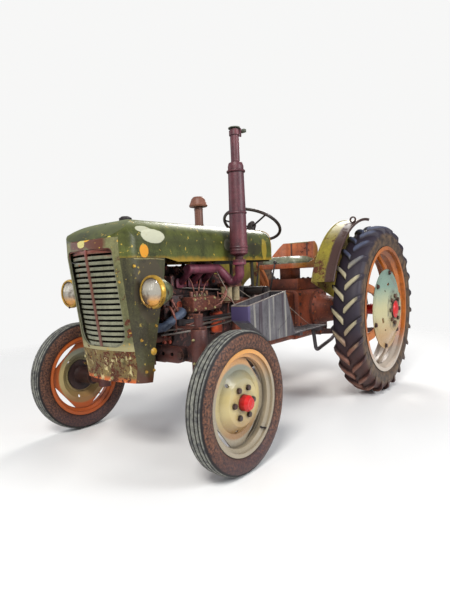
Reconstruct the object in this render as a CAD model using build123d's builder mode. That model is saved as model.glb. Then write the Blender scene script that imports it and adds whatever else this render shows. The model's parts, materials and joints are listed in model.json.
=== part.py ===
from build123d import *
from math import cos, hypot, radians, sin
import os

# Small farm tractor: every piece in millimetres, +Z up, the nose towards -Y, the tractor's left at +X.
# The origin is on the ground, at the centre of the machine's box.

os.makedirs("parts", exist_ok=True)

# ---- driving dimensions ----
wheelbase = 1830
nose_overhang = 366  # front axle to the foremost point of the grille
link_overhang = 790  # rear axle to the end of the lower links
front_track = 1271
rear_track = 1317

front_tyre_r = 348
front_tyre_w = 115
front_seat_r = 241.3  # bead seat of a 19 inch rim
front_flange_r = 257
front_rim_w = 76
front_well_r = 222
front_rim_t = 3.5

rear_tyre_r = 642
rear_tyre_w = 206
rear_seat_r = 457.2  # bead seat of a 36 inch rim
rear_flange_r = 480
rear_rim_w = 178
rear_well_r = 432
rear_rim_t = 5

hood_half_w = 250
hood_top_z = 1268
hood_shoulder_r = 112
hood_edge_z = 1040
hood_reach = 856  # rear axle forward to the hood's end
nose_low_z = 440
nose_lean = 83  # how far the foot of the nose is set back
nose_break_z = 1084  # the nose leans below this height
nose_corner_r = 95
nose_bow = 45
brow_low_z = 1140  # the nose rolls back from this height, over this length, into the hood's top
brow_length = 320
panel_t = 3
panel_gap = 0.6
seam_z = 1060  # between the side panels and the hood
seam_x = 210  # between the grille's surround and the side panels

kingpin_x = 400
kingpin_r = 22
steer_arm = 120  # kingpin to the drag link's ball, and the drop arm's length
drag_z = 722
column_tilt = 28  # steering wheel's lean towards the driver
steering_wheel_r = 222

running = 0.05  # radial clearance of a shaft in its bore
seat_gap = 0.3  # between pieces that rest on each other's curved faces

# ---- stations along the machine, from the driving dimensions ----
rear_axle_y = (wheelbase + nose_overhang - link_overhang) / 2
front_axle_y = rear_axle_y - wheelbase
front_axle_z = front_tyre_r
rear_axle_z = rear_tyre_r
nose_y = front_axle_y - nose_overhang
nose_low_y = nose_y + nose_lean
hood_end_y = rear_axle_y - hood_reach
hood_length = hood_end_y - nose_y


def save(piece, node):
    """Label a finished piece and write it to its own file."""
    piece.part.label = node
    export_step(piece.part, f"parts/{node}.step")


def save_pair(piece, node):
    """Write a left-hand piece and its mirror image as two nodes."""
    save(piece, node + "_left")
    with BuildPart() as twin:
        mirror(piece.part, about=Plane.YZ)
    save(twin, node + "_right")


def save_both_sides(piece, node):
    """Write a left-hand piece and its mirror image as one node of two solids."""
    with BuildPart() as both:
        add(piece.part)
        mirror(piece.part, about=Plane.YZ)
    save(both, node)


def lying_in_x(x, y, z):
    """A plane at a point, its normal along +X, for discs and shafts that lie across the machine."""
    return Plane((x, y, z), x_dir=(0, 1, 0), z_dir=(1, 0, 0))


def bar(start, end, radius):
    """A round bar between two points, added to the part being built."""
    direction = Vector(end) - Vector(start)
    with BuildSketch(Plane(start, z_dir=direction)) as end_face:
        Circle(radius)
    extrude(end_face.sketch, amount=direction.length)


# ==== wheels ====
def rim_profile(seat_r, flange_r, well_r, width, thickness):
    """Closed section of a drop-centre rim in (axial, radial), axial from the wheel's middle plane."""
    half = width / 2
    well = half * 0.45
    slope = half * 0.25
    outer = [
        (-half - thickness, flange_r),
        (-half, flange_r),
        (-half, seat_r),
        (-well - slope, seat_r),
        (-well, well_r),
        (well, well_r),
        (well + slope, seat_r),
        (half, seat_r),
        (half, flange_r),
        (half + thickness, flange_r),
        (half + thickness, seat_r - thickness),
        (well + slope + thickness / 2, seat_r - thickness),
        (well + thickness / 2, well_r - thickness),
        (-well - thickness / 2, well_r - thickness),
        (-well - slope - thickness / 2, seat_r - thickness),
        (-half - thickness, seat_r - thickness),
    ]
    return outer


def wheel_plane(x, y, z):
    """Sketch plane of a wheel's half section: local x is along the axle, local y is radial."""
    return Plane((x, y, z), x_dir=(1, 0, 0), z_dir=(0, -1, 0))


def revolve_ring(points, x, y, z):
    """Revolve a closed (axial, radial) section about an axle along X."""
    with BuildSketch(wheel_plane(x, y, z)) as section:
        Polygon(*points, align=None)
    revolve(section.sketch, axis=Axis((x, y, z), (1, 0, 0)))


def tyre(x, y, z, radius, width, seat_r, flange_r, rim_w, crown_drop):
    """A tyre as one closed ring: bead, bulging side wall and crowned tread."""
    bead = rim_w / 2 - seat_gap
    bulge = width / 2
    tread = width * 0.36
    lip_r = flange_r + 1
    waist_r = seat_r + (radius - seat_r) * 0.5
    with BuildPart() as ring:
        with BuildSketch(wheel_plane(x, y, z)):
            with BuildLine():
                Line((-bead, seat_r + seat_gap), (bead, seat_r + seat_gap))
                Line((bead, seat_r + seat_gap), (bead, lip_r))
                ThreePointArc((bead, lip_r), (bulge, waist_r), (tread, radius - crown_drop))
                ThreePointArc((tread, radius - crown_drop), (0, radius), (-tread, radius - crown_drop))
                ThreePointArc((-tread, radius - crown_drop), (-bulge, waist_r), (-bead, lip_r))
                Line((-bead, lip_r), (-bead, seat_r + seat_gap))
            make_face()
        revolve(axis=Axis((x, y, z), (1, 0, 0)))
    return ring


front_x = front_track / 2
front_disc_x = front_x - 12
front_disc_t = 6
front_disc_r = front_well_r - front_rim_t
front_flat = 186  # centre to each flat of the disc, which leaves four slots at the rim
front_hub_face = 30  # how far the disc's centre is dished outwards
front_bolt_pcd = 152
front_bolt_r = 8
front_hub_r = 98
front_bore_r = 40
stub_r = 24

save_pair(
    tyre(front_x, front_axle_y, front_axle_z, front_tyre_r, front_tyre_w, front_seat_r,
         front_flange_r, front_rim_w, 9),
    "front_tyre",
)

with BuildPart() as front_wheel:
    revolve_ring(
        rim_profile(front_seat_r, front_flange_r, front_well_r, front_rim_w, front_rim_t),
        front_x, front_axle_y, front_axle_z,
    )
    # the dished disc, with a flat turned-out centre for the hub
    dish = [
        (0, front_disc_r + 1), (0, 150), (front_hub_face, 112), (front_hub_face, front_bore_r),
        (front_hub_face + front_disc_t, front_bore_r), (front_hub_face + front_disc_t, 115),
        (front_disc_t, 154), (front_disc_t, front_disc_r + 1),
    ]
    with BuildSketch(wheel_plane(front_disc_x, front_axle_y, front_axle_z)):
        Polygon(*dish, align=None)
    revolve(axis=Axis((front_disc_x, front_axle_y, front_axle_z), (1, 0, 0)))
    slot_plane = lying_in_x(front_disc_x - 5, front_axle_y, front_axle_z)
    with BuildSketch(slot_plane) as slots:
        Circle(front_disc_r - 4)
        Rectangle(2 * front_flat, 2 * front_flat, rotation=40, mode=Mode.SUBTRACT)
        with PolarLocations(140, 3, start_angle=15):
            Circle(9)
        with PolarLocations(front_bolt_pcd / 2, 6):
            Circle(front_bolt_r)
    extrude(amount=front_hub_face + 20, mode=Mode.SUBTRACT)
save_pair(front_wheel, "front_wheel")

stub_end_x = front_x + 46
hub_in_x = front_x - 128
hub_flange_x = front_disc_x + front_hub_face
hub_barrel_r = 52
with BuildPart() as front_hub:
    hub_section = [
        (hub_in_x, stub_r + running), (hub_in_x, 46), (hub_flange_x - 40, hub_barrel_r),
        (hub_flange_x - 14, front_hub_r * 0.62), (hub_flange_x - 14, front_hub_r), (hub_flange_x, front_hub_r),
        (hub_flange_x, front_bore_r - 1), (hub_flange_x + 36, front_bore_r - 1),
        (hub_flange_x + 50, front_bore_r - 12), (hub_flange_x + 50, 0),
        (stub_end_x + 1, 0), (stub_end_x + 1, stub_r + running),
    ]
    with BuildSketch(wheel_plane(0, front_axle_y, front_axle_z)):
        Polygon(*hub_section, align=None)
    revolve(axis=Axis((0, front_axle_y, front_axle_z), (1, 0, 0)))
    # wheel bolts through the flange and the disc, heads outside
    with BuildSketch(lying_in_x(hub_flange_x, front_axle_y, front_axle_z)):
        with PolarLocations(front_bolt_pcd / 2, 6):
            Circle(front_bolt_r - 0.3)
    extrude(amount=front_disc_t + 1)
    with BuildSketch(lying_in_x(hub_flange_x + front_disc_t + seat_gap, front_axle_y, front_axle_z)):
        with PolarLocations(front_bolt_pcd / 2, 6):
            RegularPolygon(14, 6)
    extrude(amount=13)
save_pair(front_hub, "front_hub")

rear_x = rear_track / 2
rear_disc_edge_x = rear_x + 84
rear_disc_t = 6
rear_disc_r = 305
rear_dish = 52  # the disc's centre stands this far outside its edge
rear_hub_r = 128
rear_bolt_pcd = 203
rear_bolt_r = 9
rear_bore_r = 70
rim_lugs = 6

save_pair(
    tyre(rear_x, rear_axle_y, rear_axle_z, rear_tyre_r, rear_tyre_w, rear_seat_r,
         rear_flange_r, rear_rim_w, 16),
    "rear_tyre",
)

with BuildPart() as rear_rim:
    revolve_ring(
        rim_profile(rear_seat_r, rear_flange_r, rear_well_r, rear_rim_w, rear_rim_t),
        rear_x, rear_axle_y, rear_axle_z,
    )
    # bent lugs from the well of the rim out to the edge of the disc
    lug_w = 58
    lug_t = 12
    well_in = rear_well_r - rear_rim_t + 0.5
    lug_side = [
        (-34, well_in), (34, well_in), (34, well_in - lug_t),
        (rear_disc_edge_x - rear_x - 0.2, rear_disc_r + 18), (rear_disc_edge_x - rear_x - 0.2, rear_disc_r - 34),
        (rear_disc_edge_x - rear_x - lug_t, rear_disc_r - 34), (rear_disc_edge_x - rear_x - lug_t, rear_disc_r + 10),
        (14, well_in - lug_t - 8), (-34, well_in - lug_t),
    ]
    for lug in range(rim_lugs):
        turn = radians(360 / rim_lugs * (lug + 0.5))
        spot = Plane(
            (rear_x, rear_axle_y, rear_axle_z), x_dir=(1, 0, 0), z_dir=(0, -sin(turn), cos(turn))
        )
        with BuildSketch(spot.offset(-lug_w / 2)):
            Polygon(*lug_side, align=None)
        extrude(amount=lug_w)
save_pair(rear_rim, "rear_rim")

with BuildPart() as rear_disc:
    edge = rear_disc_edge_x
    dish = [
        (edge, rear_disc_r), (edge, rear_disc_r - 40), (edge + rear_dish, 165), (edge + rear_dish, rear_bore_r),
        (edge + rear_dish + rear_disc_t, rear_bore_r), (edge + rear_dish + rear_disc_t, 167),
        (edge + rear_disc_t, rear_disc_r - 37), (edge + rear_disc_t, rear_disc_r),
    ]
    with BuildSketch(wheel_plane(0, rear_axle_y, rear_axle_z)):
        Polygon(*dish, align=None)
    revolve(axis=Axis((0, rear_axle_y, rear_axle_z), (1, 0, 0)))
    with BuildSketch(lying_in_x(edge - 2, rear_axle_y, rear_axle_z)):
        with PolarLocations(rear_bolt_pcd / 2, 8):
            Circle(rear_bolt_r)
        with PolarLocations(205, 4, start_angle=20):
            SlotOverall(44, 16, rotation=90)
        with PolarLocations(205, 4, start_angle=45):
            Circle(7)
    extrude(amount=rear_dish + 20, mode=Mode.SUBTRACT)
save_pair(rear_disc, "rear_disc")

# axle shaft, brake drum, wheel flange and bolts turn together
trumpet_end_x = rear_x - 190
drum_r = 178
drum_w = 62
shaft_r = 34
shaft_hold = 80  # length of shaft inside the axle housing
hub_face_x = rear_disc_edge_x + rear_dish
with BuildPart() as rear_hub:
    drum_in = trumpet_end_x + 6
    section = [
        (trumpet_end_x - shaft_hold, 0), (trumpet_end_x - shaft_hold, shaft_r), (drum_in, shaft_r), (drum_in, drum_r), (drum_in + drum_w, drum_r), (drum_in + drum_w, 60),
        (drum_in + drum_w + 20, shaft_r + 8), (hub_face_x - 60, shaft_r + 8), (hub_face_x - 16, 62),
        (hub_face_x - 16, rear_hub_r), (hub_face_x, rear_hub_r), (hub_face_x, rear_bore_r - 1),
        (hub_face_x + 16, rear_bore_r - 1), (hub_face_x + 18, 44), (hub_face_x + 24, 40), (hub_face_x + 24, 0),
    ]
    with BuildSketch(wheel_plane(0, rear_axle_y, rear_axle_z)):
        Polygon(*section, align=None)
    revolve(axis=Axis((0, rear_axle_y, rear_axle_z), (1, 0, 0)))
    with BuildSketch(lying_in_x(hub_face_x, rear_axle_y, rear_axle_z)):
        with PolarLocations(rear_bolt_pcd / 2, 8):
            Circle(rear_bolt_r - 0.3)
    extrude(amount=rear_disc_t + 1)
    with BuildSketch(lying_in_x(hub_face_x + rear_disc_t + seat_gap, rear_axle_y, rear_axle_z)):
        with PolarLocations(rear_bolt_pcd / 2, 8):
            RegularPolygon(15, 6)
    extrude(amount=14)
save_pair(rear_hub, "rear_hub")

# ==== front axle and steering ====
beam_z = 550
beam_h = 90
beam_t = 34
beam_half = 300
beam_hole_r = 11
beam_hole_pitch = 66
boss_r = 42
boss_low = 474
boss_high = 690
pivot_r = 16
steer_arm_t = 12
arm_t = 22  # thickness of the axle's outer arms
arm_y = front_axle_y + beam_t / 2  # their front face lies on the beam's rear face

with BuildPart() as front_axle_beam:
    with BuildSketch(Plane.XZ.offset(-(front_axle_y + beam_t / 2))):
        with Locations((0, beam_z)):
            SlotOverall(2 * beam_half, beam_h)
        with Locations((0, beam_z)):
            Circle(pivot_r + running, mode=Mode.SUBTRACT)
        for side in (-1, 1):
            for step in range(4):
                with Locations((side * (86 + step * beam_hole_pitch), beam_z)):
                    Circle(beam_hole_r, mode=Mode.SUBTRACT)
    extrude(amount=beam_t)
save(front_axle_beam, "front_axle_beam")

with BuildPart() as axle_arm:
    with BuildSketch(Plane.XZ.offset(-(arm_y + arm_t))):
        with BuildLine():
            Polyline(
                (130, beam_z - 38), (300, beam_z - 38), (kingpin_x, boss_low + 30), (kingpin_x, boss_high - 40),
                (300, beam_z + 38), (130, beam_z + 38), close=True,
            )
        make_face()
        for step in (1, 3):
            with Locations((86 + step * beam_hole_pitch, beam_z)):
                Circle(beam_hole_r, mode=Mode.SUBTRACT)
    extrude(amount=arm_t)
    with BuildSketch(Plane.XY.offset(boss_low)):
        with Locations((kingpin_x, front_axle_y)):
            Circle(boss_r)
    extrude(amount=boss_high - boss_low)
    with BuildSketch(Plane.XY.offset(boss_low - 1)):
        with Locations((kingpin_x, front_axle_y)):
            Circle(kingpin_r + running)
    extrude(amount=boss_high - boss_low + 2, mode=Mode.SUBTRACT)
save_both_sides(axle_arm, "front_axle_arms")

with BuildPart() as knuckle:
    # kingpin through the boss, with the spindle forging below it
    with BuildSketch(Plane.XY.offset(front_axle_z - 46)):
        with Locations((kingpin_x, front_axle_y)):
            Circle(38)
    extrude(amount=boss_low - 1 - (front_axle_z - 46))
    with BuildSketch(Plane.XY.offset(boss_low - 2)):
        with Locations((kingpin_x, front_axle_y)):
            Circle(kingpin_r)
    extrude(amount=drag_z + 34 - boss_low)
    with BuildSketch(lying_in_x(kingpin_x, front_axle_y, front_axle_z)):
        Circle(34)
    extrude(amount=hub_in_x - 14 - kingpin_x)
    with BuildSketch(lying_in_x(kingpin_x, front_axle_y, front_axle_z)):
        Circle(stub_r)
    extrude(amount=stub_end_x - kingpin_x)
    # steering arm on top of the pin, pointing inwards
    with BuildSketch(Plane.XY.offset(boss_high + 2)):
        with BuildLine():
            Polyline(
                (kingpin_x + 30, front_axle_y - 26), (kingpin_x + 30, front_axle_y + 26),
                (kingpin_x - steer_arm - 12, front_axle_y + 16), (kingpin_x - steer_arm - 12, front_axle_y - 16),
                close=True,
            )
        make_face()
    extrude(amount=steer_arm_t)
    with BuildSketch(Plane.XY.offset(boss_high + 2)):
        with Locations((kingpin_x - steer_arm, front_axle_y)):
            Circle(9)
    extrude(amount=drag_z + 12 - (boss_high + 2))
    with BuildSketch(Plane.XY.offset(drag_z + 30)):
        with Locations((kingpin_x, front_axle_y)):
            RegularPolygon(26, 6)
    extrude(amount=16)
save_pair(knuckle, "steering_knuckle")

# steering box on top of the gearbox, with a cross shaft for the two drop arms
box_y = rear_axle_y - 930
cross_z = drag_z + steer_arm
drop_x = kingpin_x - steer_arm - 24  # outer face of the drop arms
drop_t = 16
shaft_x = drop_x - drop_t - 12
cross_r = 16

with BuildPart() as drag_link:
    link_x = kingpin_x - steer_arm
    with BuildSketch(Plane.XY.offset(drag_z - 15)):
        with Locations((link_x, front_axle_y)):
            Circle(24)
    extrude(amount=30)
    bar((link_x, front_axle_y + 16, drag_z), (link_x, box_y - 10, drag_z), 11)
    with BuildSketch(lying_in_x(link_x - 16, box_y, drag_z)):
        Circle(24)
    extrude(amount=32)
    with BuildSketch(Plane.XY.offset(drag_z - 16)):
        with Locations((link_x, front_axle_y)):
            Circle(9 + running)
    extrude(amount=40, mode=Mode.SUBTRACT)
save_pair(drag_link, "drag_link")

with BuildPart() as drop_arm:
    with BuildSketch(lying_in_x(drop_x - drop_t, 0, 0)):
        with BuildLine():
            Polyline(
                (box_y - 26, cross_z + 10), (box_y - 14, drag_z - 14), (box_y + 14, drag_z - 14),
                (box_y + 26, cross_z + 10), close=True,
            )
        make_face()
        with Locations((box_y, cross_z)):
            Circle(30)
        with Locations((box_y, drag_z)):
            Circle(20)
        with Locations((box_y, cross_z)):
            Circle(cross_r + running, mode=Mode.SUBTRACT)
    extrude(amount=drop_t)
save_pair(drop_arm, "drop_arm")

# column: from the box, leaning back to the steering wheel
lean = Vector(0, sin(radians(column_tilt)), cos(radians(column_tilt)))
wheel_centre = Vector(0, rear_axle_y - 708, 1320)
column_foot = wheel_centre - lean * ((wheel_centre.Z - cross_z - 20) / lean.Z)
wheel_hub_depth = 58
gearbox_top_z = 800
with BuildPart() as steering_box:
    with BuildSketch(Plane.XY.offset(gearbox_top_z)):
        with Locations((0, box_y + 10)):
            Rectangle(164, 130)
    extrude(amount=cross_z + 34 - gearbox_top_z, taper=6)
    with BuildSketch(lying_in_x(-shaft_x, box_y, cross_z)):
        Circle(30)
    extrude(amount=2 * shaft_x)
    with BuildSketch(lying_in_x(-drop_x - 8, box_y, cross_z)):
        Circle(cross_r)
    extrude(amount=2 * (drop_x + 8))
    bar(column_foot, wheel_centre - lean * (wheel_hub_depth + seat_gap), 21)
    bar(column_foot - lean * 10, column_foot + lean * 70, 34)
save(steering_box, "steering_column")

with BuildPart() as steering_wheel:
    rim_plane = Plane(wheel_centre, x_dir=(1, 0, 0), z_dir=lean)
    with BuildSketch(Plane(wheel_centre, x_dir=(1, 0, 0), z_dir=(0, -lean.Z, lean.Y))):
        with Locations((steering_wheel_r - 11, 0)):
            Circle(11)
    revolve(axis=Axis(wheel_centre, lean))
    with BuildSketch(rim_plane.offset(-wheel_hub_depth)):
        Circle(32)
    extrude(amount=wheel_hub_depth + 2)
    for angle in (90, 210, 330):
        reach = Vector(cos(radians(angle)), sin(radians(angle)) * lean.Z, -sin(radians(angle)) * lean.Y)
        bar(wheel_centre - lean * 18 + reach * 22, wheel_centre + reach * (steering_wheel_r - 14), 6.5)
save(steering_wheel, "steering_wheel")

# ==== chassis castings ====
engine_front_y = rear_axle_y - 1740
engine_back_y = rear_axle_y - 1190
engine_half = 135
engine_low_z = 480
engine_top_z = 860
head_top_z = 968
cover_top_z = 1024

with BuildPart() as axle_bracket:
    # casting bolted to the engine's front: it carries the beam's pivot and the radiator
    with BuildSketch(Plane.XY.offset(beam_z + beam_h / 2 + 12)):
        with Locations((0, (nose_y + 120 + engine_front_y) / 2)):
            Rectangle(240, engine_front_y - nose_y - 120)
    extrude(amount=34)
    for ear_y, ear_t in ((front_axle_y - beam_t / 2 - 42, 36), (engine_front_y - 44, 44)):
        with BuildSketch(Plane.XZ.offset(-(ear_y + ear_t))):
            with Locations((0, beam_z + 20)):
                Rectangle(200, beam_h + 80)
        extrude(amount=ear_t)
    with BuildSketch(Plane.XZ.offset(-(engine_front_y - 20))):
        with Locations((0, beam_z)):
            Circle(pivot_r)
    extrude(amount=engine_front_y - 20 - (front_axle_y - beam_t / 2 - 50))
save(axle_bracket, "front_axle_bracket")

with BuildPart() as radius_rod:
    rod_front = Vector(kingpin_x - 46, front_axle_y + beam_t / 2 + arm_t + 14, beam_z - 50)
    rod_back = Vector(148, rear_axle_y - 830, 440)
    bar(rod_front, rod_back, 14)
    with BuildSketch(Plane.XZ.offset(-(front_axle_y + beam_t / 2 + arm_t + 20))):
        with Locations((kingpin_x - 46, beam_z - 40)):
            Rectangle(44, 60)
    extrude(amount=20)
    with BuildSketch(lying_in_x(130, rear_axle_y - 830, 440)):
        Circle(28)
    extrude(amount=24)
save_both_sides(radius_rod, "radius_rods")

with BuildPart() as engine_block:
    with BuildSketch(Plane.XZ.offset(-engine_back_y)):
        with BuildLine():
            Polyline(
                (-engine_half, engine_top_z), (-engine_half, 610), (-105, 560), (-105, engine_low_z),
                (105, engine_low_z), (105, 560), (engine_half, 610), (engine_half, engine_top_z), close=True,
            )
        make_face()
    extrude(amount=engine_back_y - engine_front_y)
    with BuildSketch(Plane.XZ.offset(-(engine_front_y))):
        with Locations((0, 770)):
            Rectangle(230, 180)
    extrude(amount=44)
save(engine_block, "engine_block")

with BuildPart() as cylinder_head:
    with BuildSketch(Plane.XY.offset(engine_top_z)):
        with Locations((0, (engine_front_y + engine_back_y) / 2)):
            Rectangle(230, engine_back_y - engine_front_y - 40)
    extrude(amount=head_top_z - engine_top_z)
    with BuildSketch(Plane.XY.offset(head_top_z)):
        with Locations((-20, (engine_front_y + engine_back_y) / 2)):
            RectangleRounded(150, engine_back_y - engine_front_y - 90, 30)
    extrude(amount=cover_top_z - head_top_z)
save(cylinder_head, "cylinder_head")

gearbox_back_y = rear_axle_y - 330
gearbox_half = 130
gearbox_low_z = 420
axle_case_back_y = rear_axle_y + 190
axle_case_half = 165
trumpet_in_x = axle_case_half
with BuildPart() as transmission_case:
    with BuildSketch(Plane.XZ.offset(-engine_back_y)):
        with Locations((0, 660)):
            RectangleRounded(330, 400, 90)
    extrude(amount=-40)
    with BuildSketch(Plane.XZ.offset(-(engine_back_y + 40))):
        with Locations((0, 640)):
            RectangleRounded(310, 380, 80)
    with BuildSketch(Plane.XZ.offset(-(engine_back_y + 200))):
        with Locations((0, 610)):
            RectangleRounded(2 * gearbox_half, 380, 30)
    loft(ruled=True)
    with BuildSketch(Plane.XZ.offset(-(engine_back_y + 200))):
        with Locations((0, 610)):
            RectangleRounded(2 * gearbox_half, 380, 30)
    extrude(amount=-(gearbox_back_y - engine_back_y - 200))
save(transmission_case, "transmission_case")

link_pin_x = 190
link_pin_y = rear_axle_y - 40
link_pin_z = 450
link_pin_r = 11
with BuildPart() as rear_axle_case:
    with BuildSketch(Plane.XZ.offset(-gearbox_back_y)):
        with Locations((0, 615)):
            RectangleRounded(2 * axle_case_half, 400, 50)
    extrude(amount=-(axle_case_back_y - gearbox_back_y))
    # power take-off shaft at the back
    with BuildSketch(Plane.XZ.offset(-axle_case_back_y)):
        with Locations((0, 540)):
            Circle(48)
    extrude(amount=-22)
    with BuildSketch(Plane.XZ.offset(-axle_case_back_y)):
        with Locations((0, 540)):
            Circle(17.5)
    extrude(amount=-110)
    # pins for the lower links, with washers outside them
    for side in (-1, 1):
        with BuildSketch(lying_in_x(side * axle_case_half, link_pin_y, link_pin_z)):
            Circle(link_pin_r)
        extrude(amount=side * (link_pin_x + 26 - axle_case_half))
        with BuildSketch(lying_in_x(side * (link_pin_x + 20), link_pin_y, link_pin_z)):
            Circle(18)
        extrude(amount=side * 6)
save(rear_axle_case, "rear_axle_case")

with BuildPart() as axle_trumpet:
    # tapering housing from the centre case to the brake's back plate
    section = [
        (trumpet_in_x, 0), (trumpet_in_x, 150), (trumpet_in_x + 24, 150), (trumpet_in_x + 40, 120),
        (trumpet_end_x - 40, 78), (trumpet_end_x - 14, 78), (trumpet_end_x - 14, drum_r + 4),
        (trumpet_end_x, drum_r + 4), (trumpet_end_x, shaft_r + running),
        (trumpet_end_x - shaft_hold - 2, shaft_r + running), (trumpet_end_x - shaft_hold - 2, 0),
    ]
    with BuildSketch(wheel_plane(0, rear_axle_y, rear_axle_z)):
        Polygon(*section, align=None)
    revolve(axis=Axis((0, rear_axle_y, rear_axle_z), (1, 0, 0)))
save_both_sides(axle_trumpet, "axle_trumpets")

cover_low_z = 815
lift_z = 880
lift_y = rear_axle_y + 110
lift_arm = 250
lift_arm_x = 172  # inner face of the arms
lift_shaft_r = 16
rod_pin_r = 9
with BuildPart() as lift_cover:
    with BuildSketch(Plane.XY.offset(cover_low_z)):
        with Locations((0, (gearbox_back_y + axle_case_back_y) / 2 + 20)):
            Rectangle(270, axle_case_back_y - gearbox_back_y - 60)
    extrude(amount=90)
    # bracket for the top link
    with BuildSketch(Plane.XZ.offset(-(lift_y + 62))):
        with Locations((0, 855)):
            Rectangle(90, 80)
    extrude(amount=-40)
    # cross shaft that carries the lift arms, with a washer outside each
    for side in (-1, 1):
        with BuildSketch(lying_in_x(side * 120, lift_y, lift_z)):
            Circle(lift_shaft_r)
        extrude(amount=side * (lift_arm_x + 19 - 120))
        with BuildSketch(lying_in_x(side * (lift_arm_x + 19), lift_y, lift_z)):
            Circle(24)
        extrude(amount=side * 5)
save(lift_cover, "lift_cover")

# ==== bodywork: one form, cut into its panels ====
def bodywork(inset):
    """The outer form of hood and nose, every face moved inwards by inset."""
    half = hood_half_w - inset
    top = hood_top_z - inset
    low = nose_low_z - 20 if inset else nose_low_z
    back = hood_end_y + 20 if inset else hood_end_y
    with BuildPart() as form:
        # plan of the nose, leaning below the break
        for z in (low, nose_break_z):
            foot = nose_lean * (nose_break_z - z) / (nose_break_z - nose_low_z)
            front = nose_y + nose_bow + foot + inset
            with BuildSketch(Plane.XY.offset(z)) as plan:
                with BuildLine():
                    Polyline((half, front), (half, back), (-half, back), (-half, front))
                    ThreePointArc((-half, front), (0, front - nose_bow), (half, front))
                make_face()
                corners = plan.vertices().filter_by_position(Axis.Y, front - 0.1, front + 0.1)
                fillet(corners, nose_corner_r - inset)
        loft(ruled=True)
        front = nose_y + nose_bow + inset
        with BuildSketch(Plane.XY.offset(nose_break_z)) as plan:
            with BuildLine():
                Polyline((half, front), (half, back), (-half, back), (-half, front))
                ThreePointArc((-half, front), (0, front - nose_bow), (half, front))
            make_face()
            corners = plan.vertices().filter_by_position(Axis.Y, front - 0.1, front + 0.1)
            fillet(corners, nose_corner_r - inset)
        extrude(amount=hood_top_z - nose_break_z)
        # cross section with rounded shoulders and a low crown
        with BuildSketch(Plane.XZ.offset(-back)) as section:
            with BuildLine():
                Polyline((-half, top - 34), (-half, low), (half, low), (half, top - 34))
                ThreePointArc((half, top - 34), (0, top), (-half, top - 34))
            make_face()
            shoulders = section.vertices().filter_by_position(Axis.Y, top - 35, top - 33)
            fillet(shoulders, hood_shoulder_r - inset)
        extrude(amount=back - nose_y + 50, mode=Mode.INTERSECT)
        # side view: the brow rolls over into the top
        with BuildSketch(Plane.YZ.offset(-half - 5)):
            with BuildLine():
                brow = nose_y + inset - 6
                Polyline((back, top), (back, low), (brow, low), (brow, brow_low_z))
                Line((nose_y + brow_length, top), (back, top))
                ThreePointArc(
                    (brow, brow_low_z), (nose_y + 92 + inset * 0.7, top - 44), (nose_y + brow_length, top)
                )
            make_face()
        extrude(amount=2 * half + 10, mode=Mode.INTERSECT)
    return form.part


shell = bodywork(0) - bodywork(panel_t)

front_depth = 110  # the grille's surround and the apron lie within this depth of the nose
front_top_z = 1160
side_back = [(173, 430), (206, 624), (256, 822), (293, 980), (303, seam_z)]  # (y from the nose, z)
grille_half = 178
grille_low_z = 622
grille_top_z = 1112
apron_top_z = 604


def lean_y(z):
    """The nose's face on the centre line, at a height."""
    return nose_y + nose_lean * max(0, nose_break_z - z) / (nose_break_z - nose_low_z)


def region(points):
    """A prism across the whole machine, from an outline in (y from the nose, z)."""
    with BuildPart() as prism:
        with BuildSketch(Plane.YZ.offset(-hood_half_w - 50)):
            Polygon(*[(nose_y + y, z) for y, z in points], align=None)
        extrude(amount=2 * hood_half_w + 100)
    return prism.part


def front_block(half, low, high):
    """A block that takes in the middle of the nose, between two heights."""
    with BuildPart() as block:
        with BuildSketch(Plane.XY.offset(low)):
            with Locations((0, nose_y + front_depth / 2 - 30)):
                Rectangle(2 * half, front_depth + 60)
        extrude(amount=high - low)
    return block.part


side_region = region([(-60, 400)] + side_back + [(-60, seam_z)])
hood_region = region([
    (-60, seam_z + panel_gap), (308, seam_z + panel_gap), (338, seam_z - 6), (400, hood_edge_z),
    (hood_length + 5, hood_edge_z + 10), (hood_length + 5, hood_top_z + 20), (-60, hood_top_z + 20),
])

with BuildPart() as nose_surround:
    add(shell & front_block(seam_x, apron_top_z, front_top_z))
    with BuildSketch(Plane.XZ.offset(-(nose_y + front_depth))) as opening:
        with Locations((0, (grille_low_z + grille_top_z) / 2)):
            Rectangle(2 * grille_half, grille_top_z - grille_low_z)
        fillet(opening.vertices().group_by(Axis.Y)[0], 80)
        fillet(opening.vertices().group_by(Axis.Y)[-1], 26)
    extrude(amount=front_depth + 60, mode=Mode.SUBTRACT)
save(nose_surround, "nose_surround")

with BuildPart() as lower_apron:
    add(shell & front_block(seam_x, 400, apron_top_z - panel_gap))
save(lower_apron, "lower_apron")

with BuildPart() as side_panels:
    add((shell & side_region) - front_block(seam_x + panel_gap, 390, seam_z + 10))
save(side_panels, "side_panels")

cap_y = nose_y + 271  # radiator filler cap
stem_x = -80  # air cleaner's stem
stem_y = rear_axle_y - 1220
stem_r = 28
neck_r = 20
hole_gap = 3

with BuildPart() as hood:
    add((shell & hood_region) - front_block(seam_x + panel_gap, seam_z - 10, front_top_z + panel_gap))
    # holes for the filler neck and for the air cleaner's stem
    with BuildSketch(Plane.XY.offset(hood_top_z - 60)):
        with Locations((0, cap_y)):
            Circle(neck_r + hole_gap)
        with Locations((stem_x, stem_y)):
            Circle(stem_r + hole_gap)
    extrude(amount=100, mode=Mode.SUBTRACT)
save(hood, "hood")

# ---- grille: bowed slats across a centre rib, held by a lip behind the surround ----
slat_count = 18
slat_h = 16
slat_depth = 16
slat_inset = 2
lip_out = 12
lip_in = 6
rib_w = 20


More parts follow.
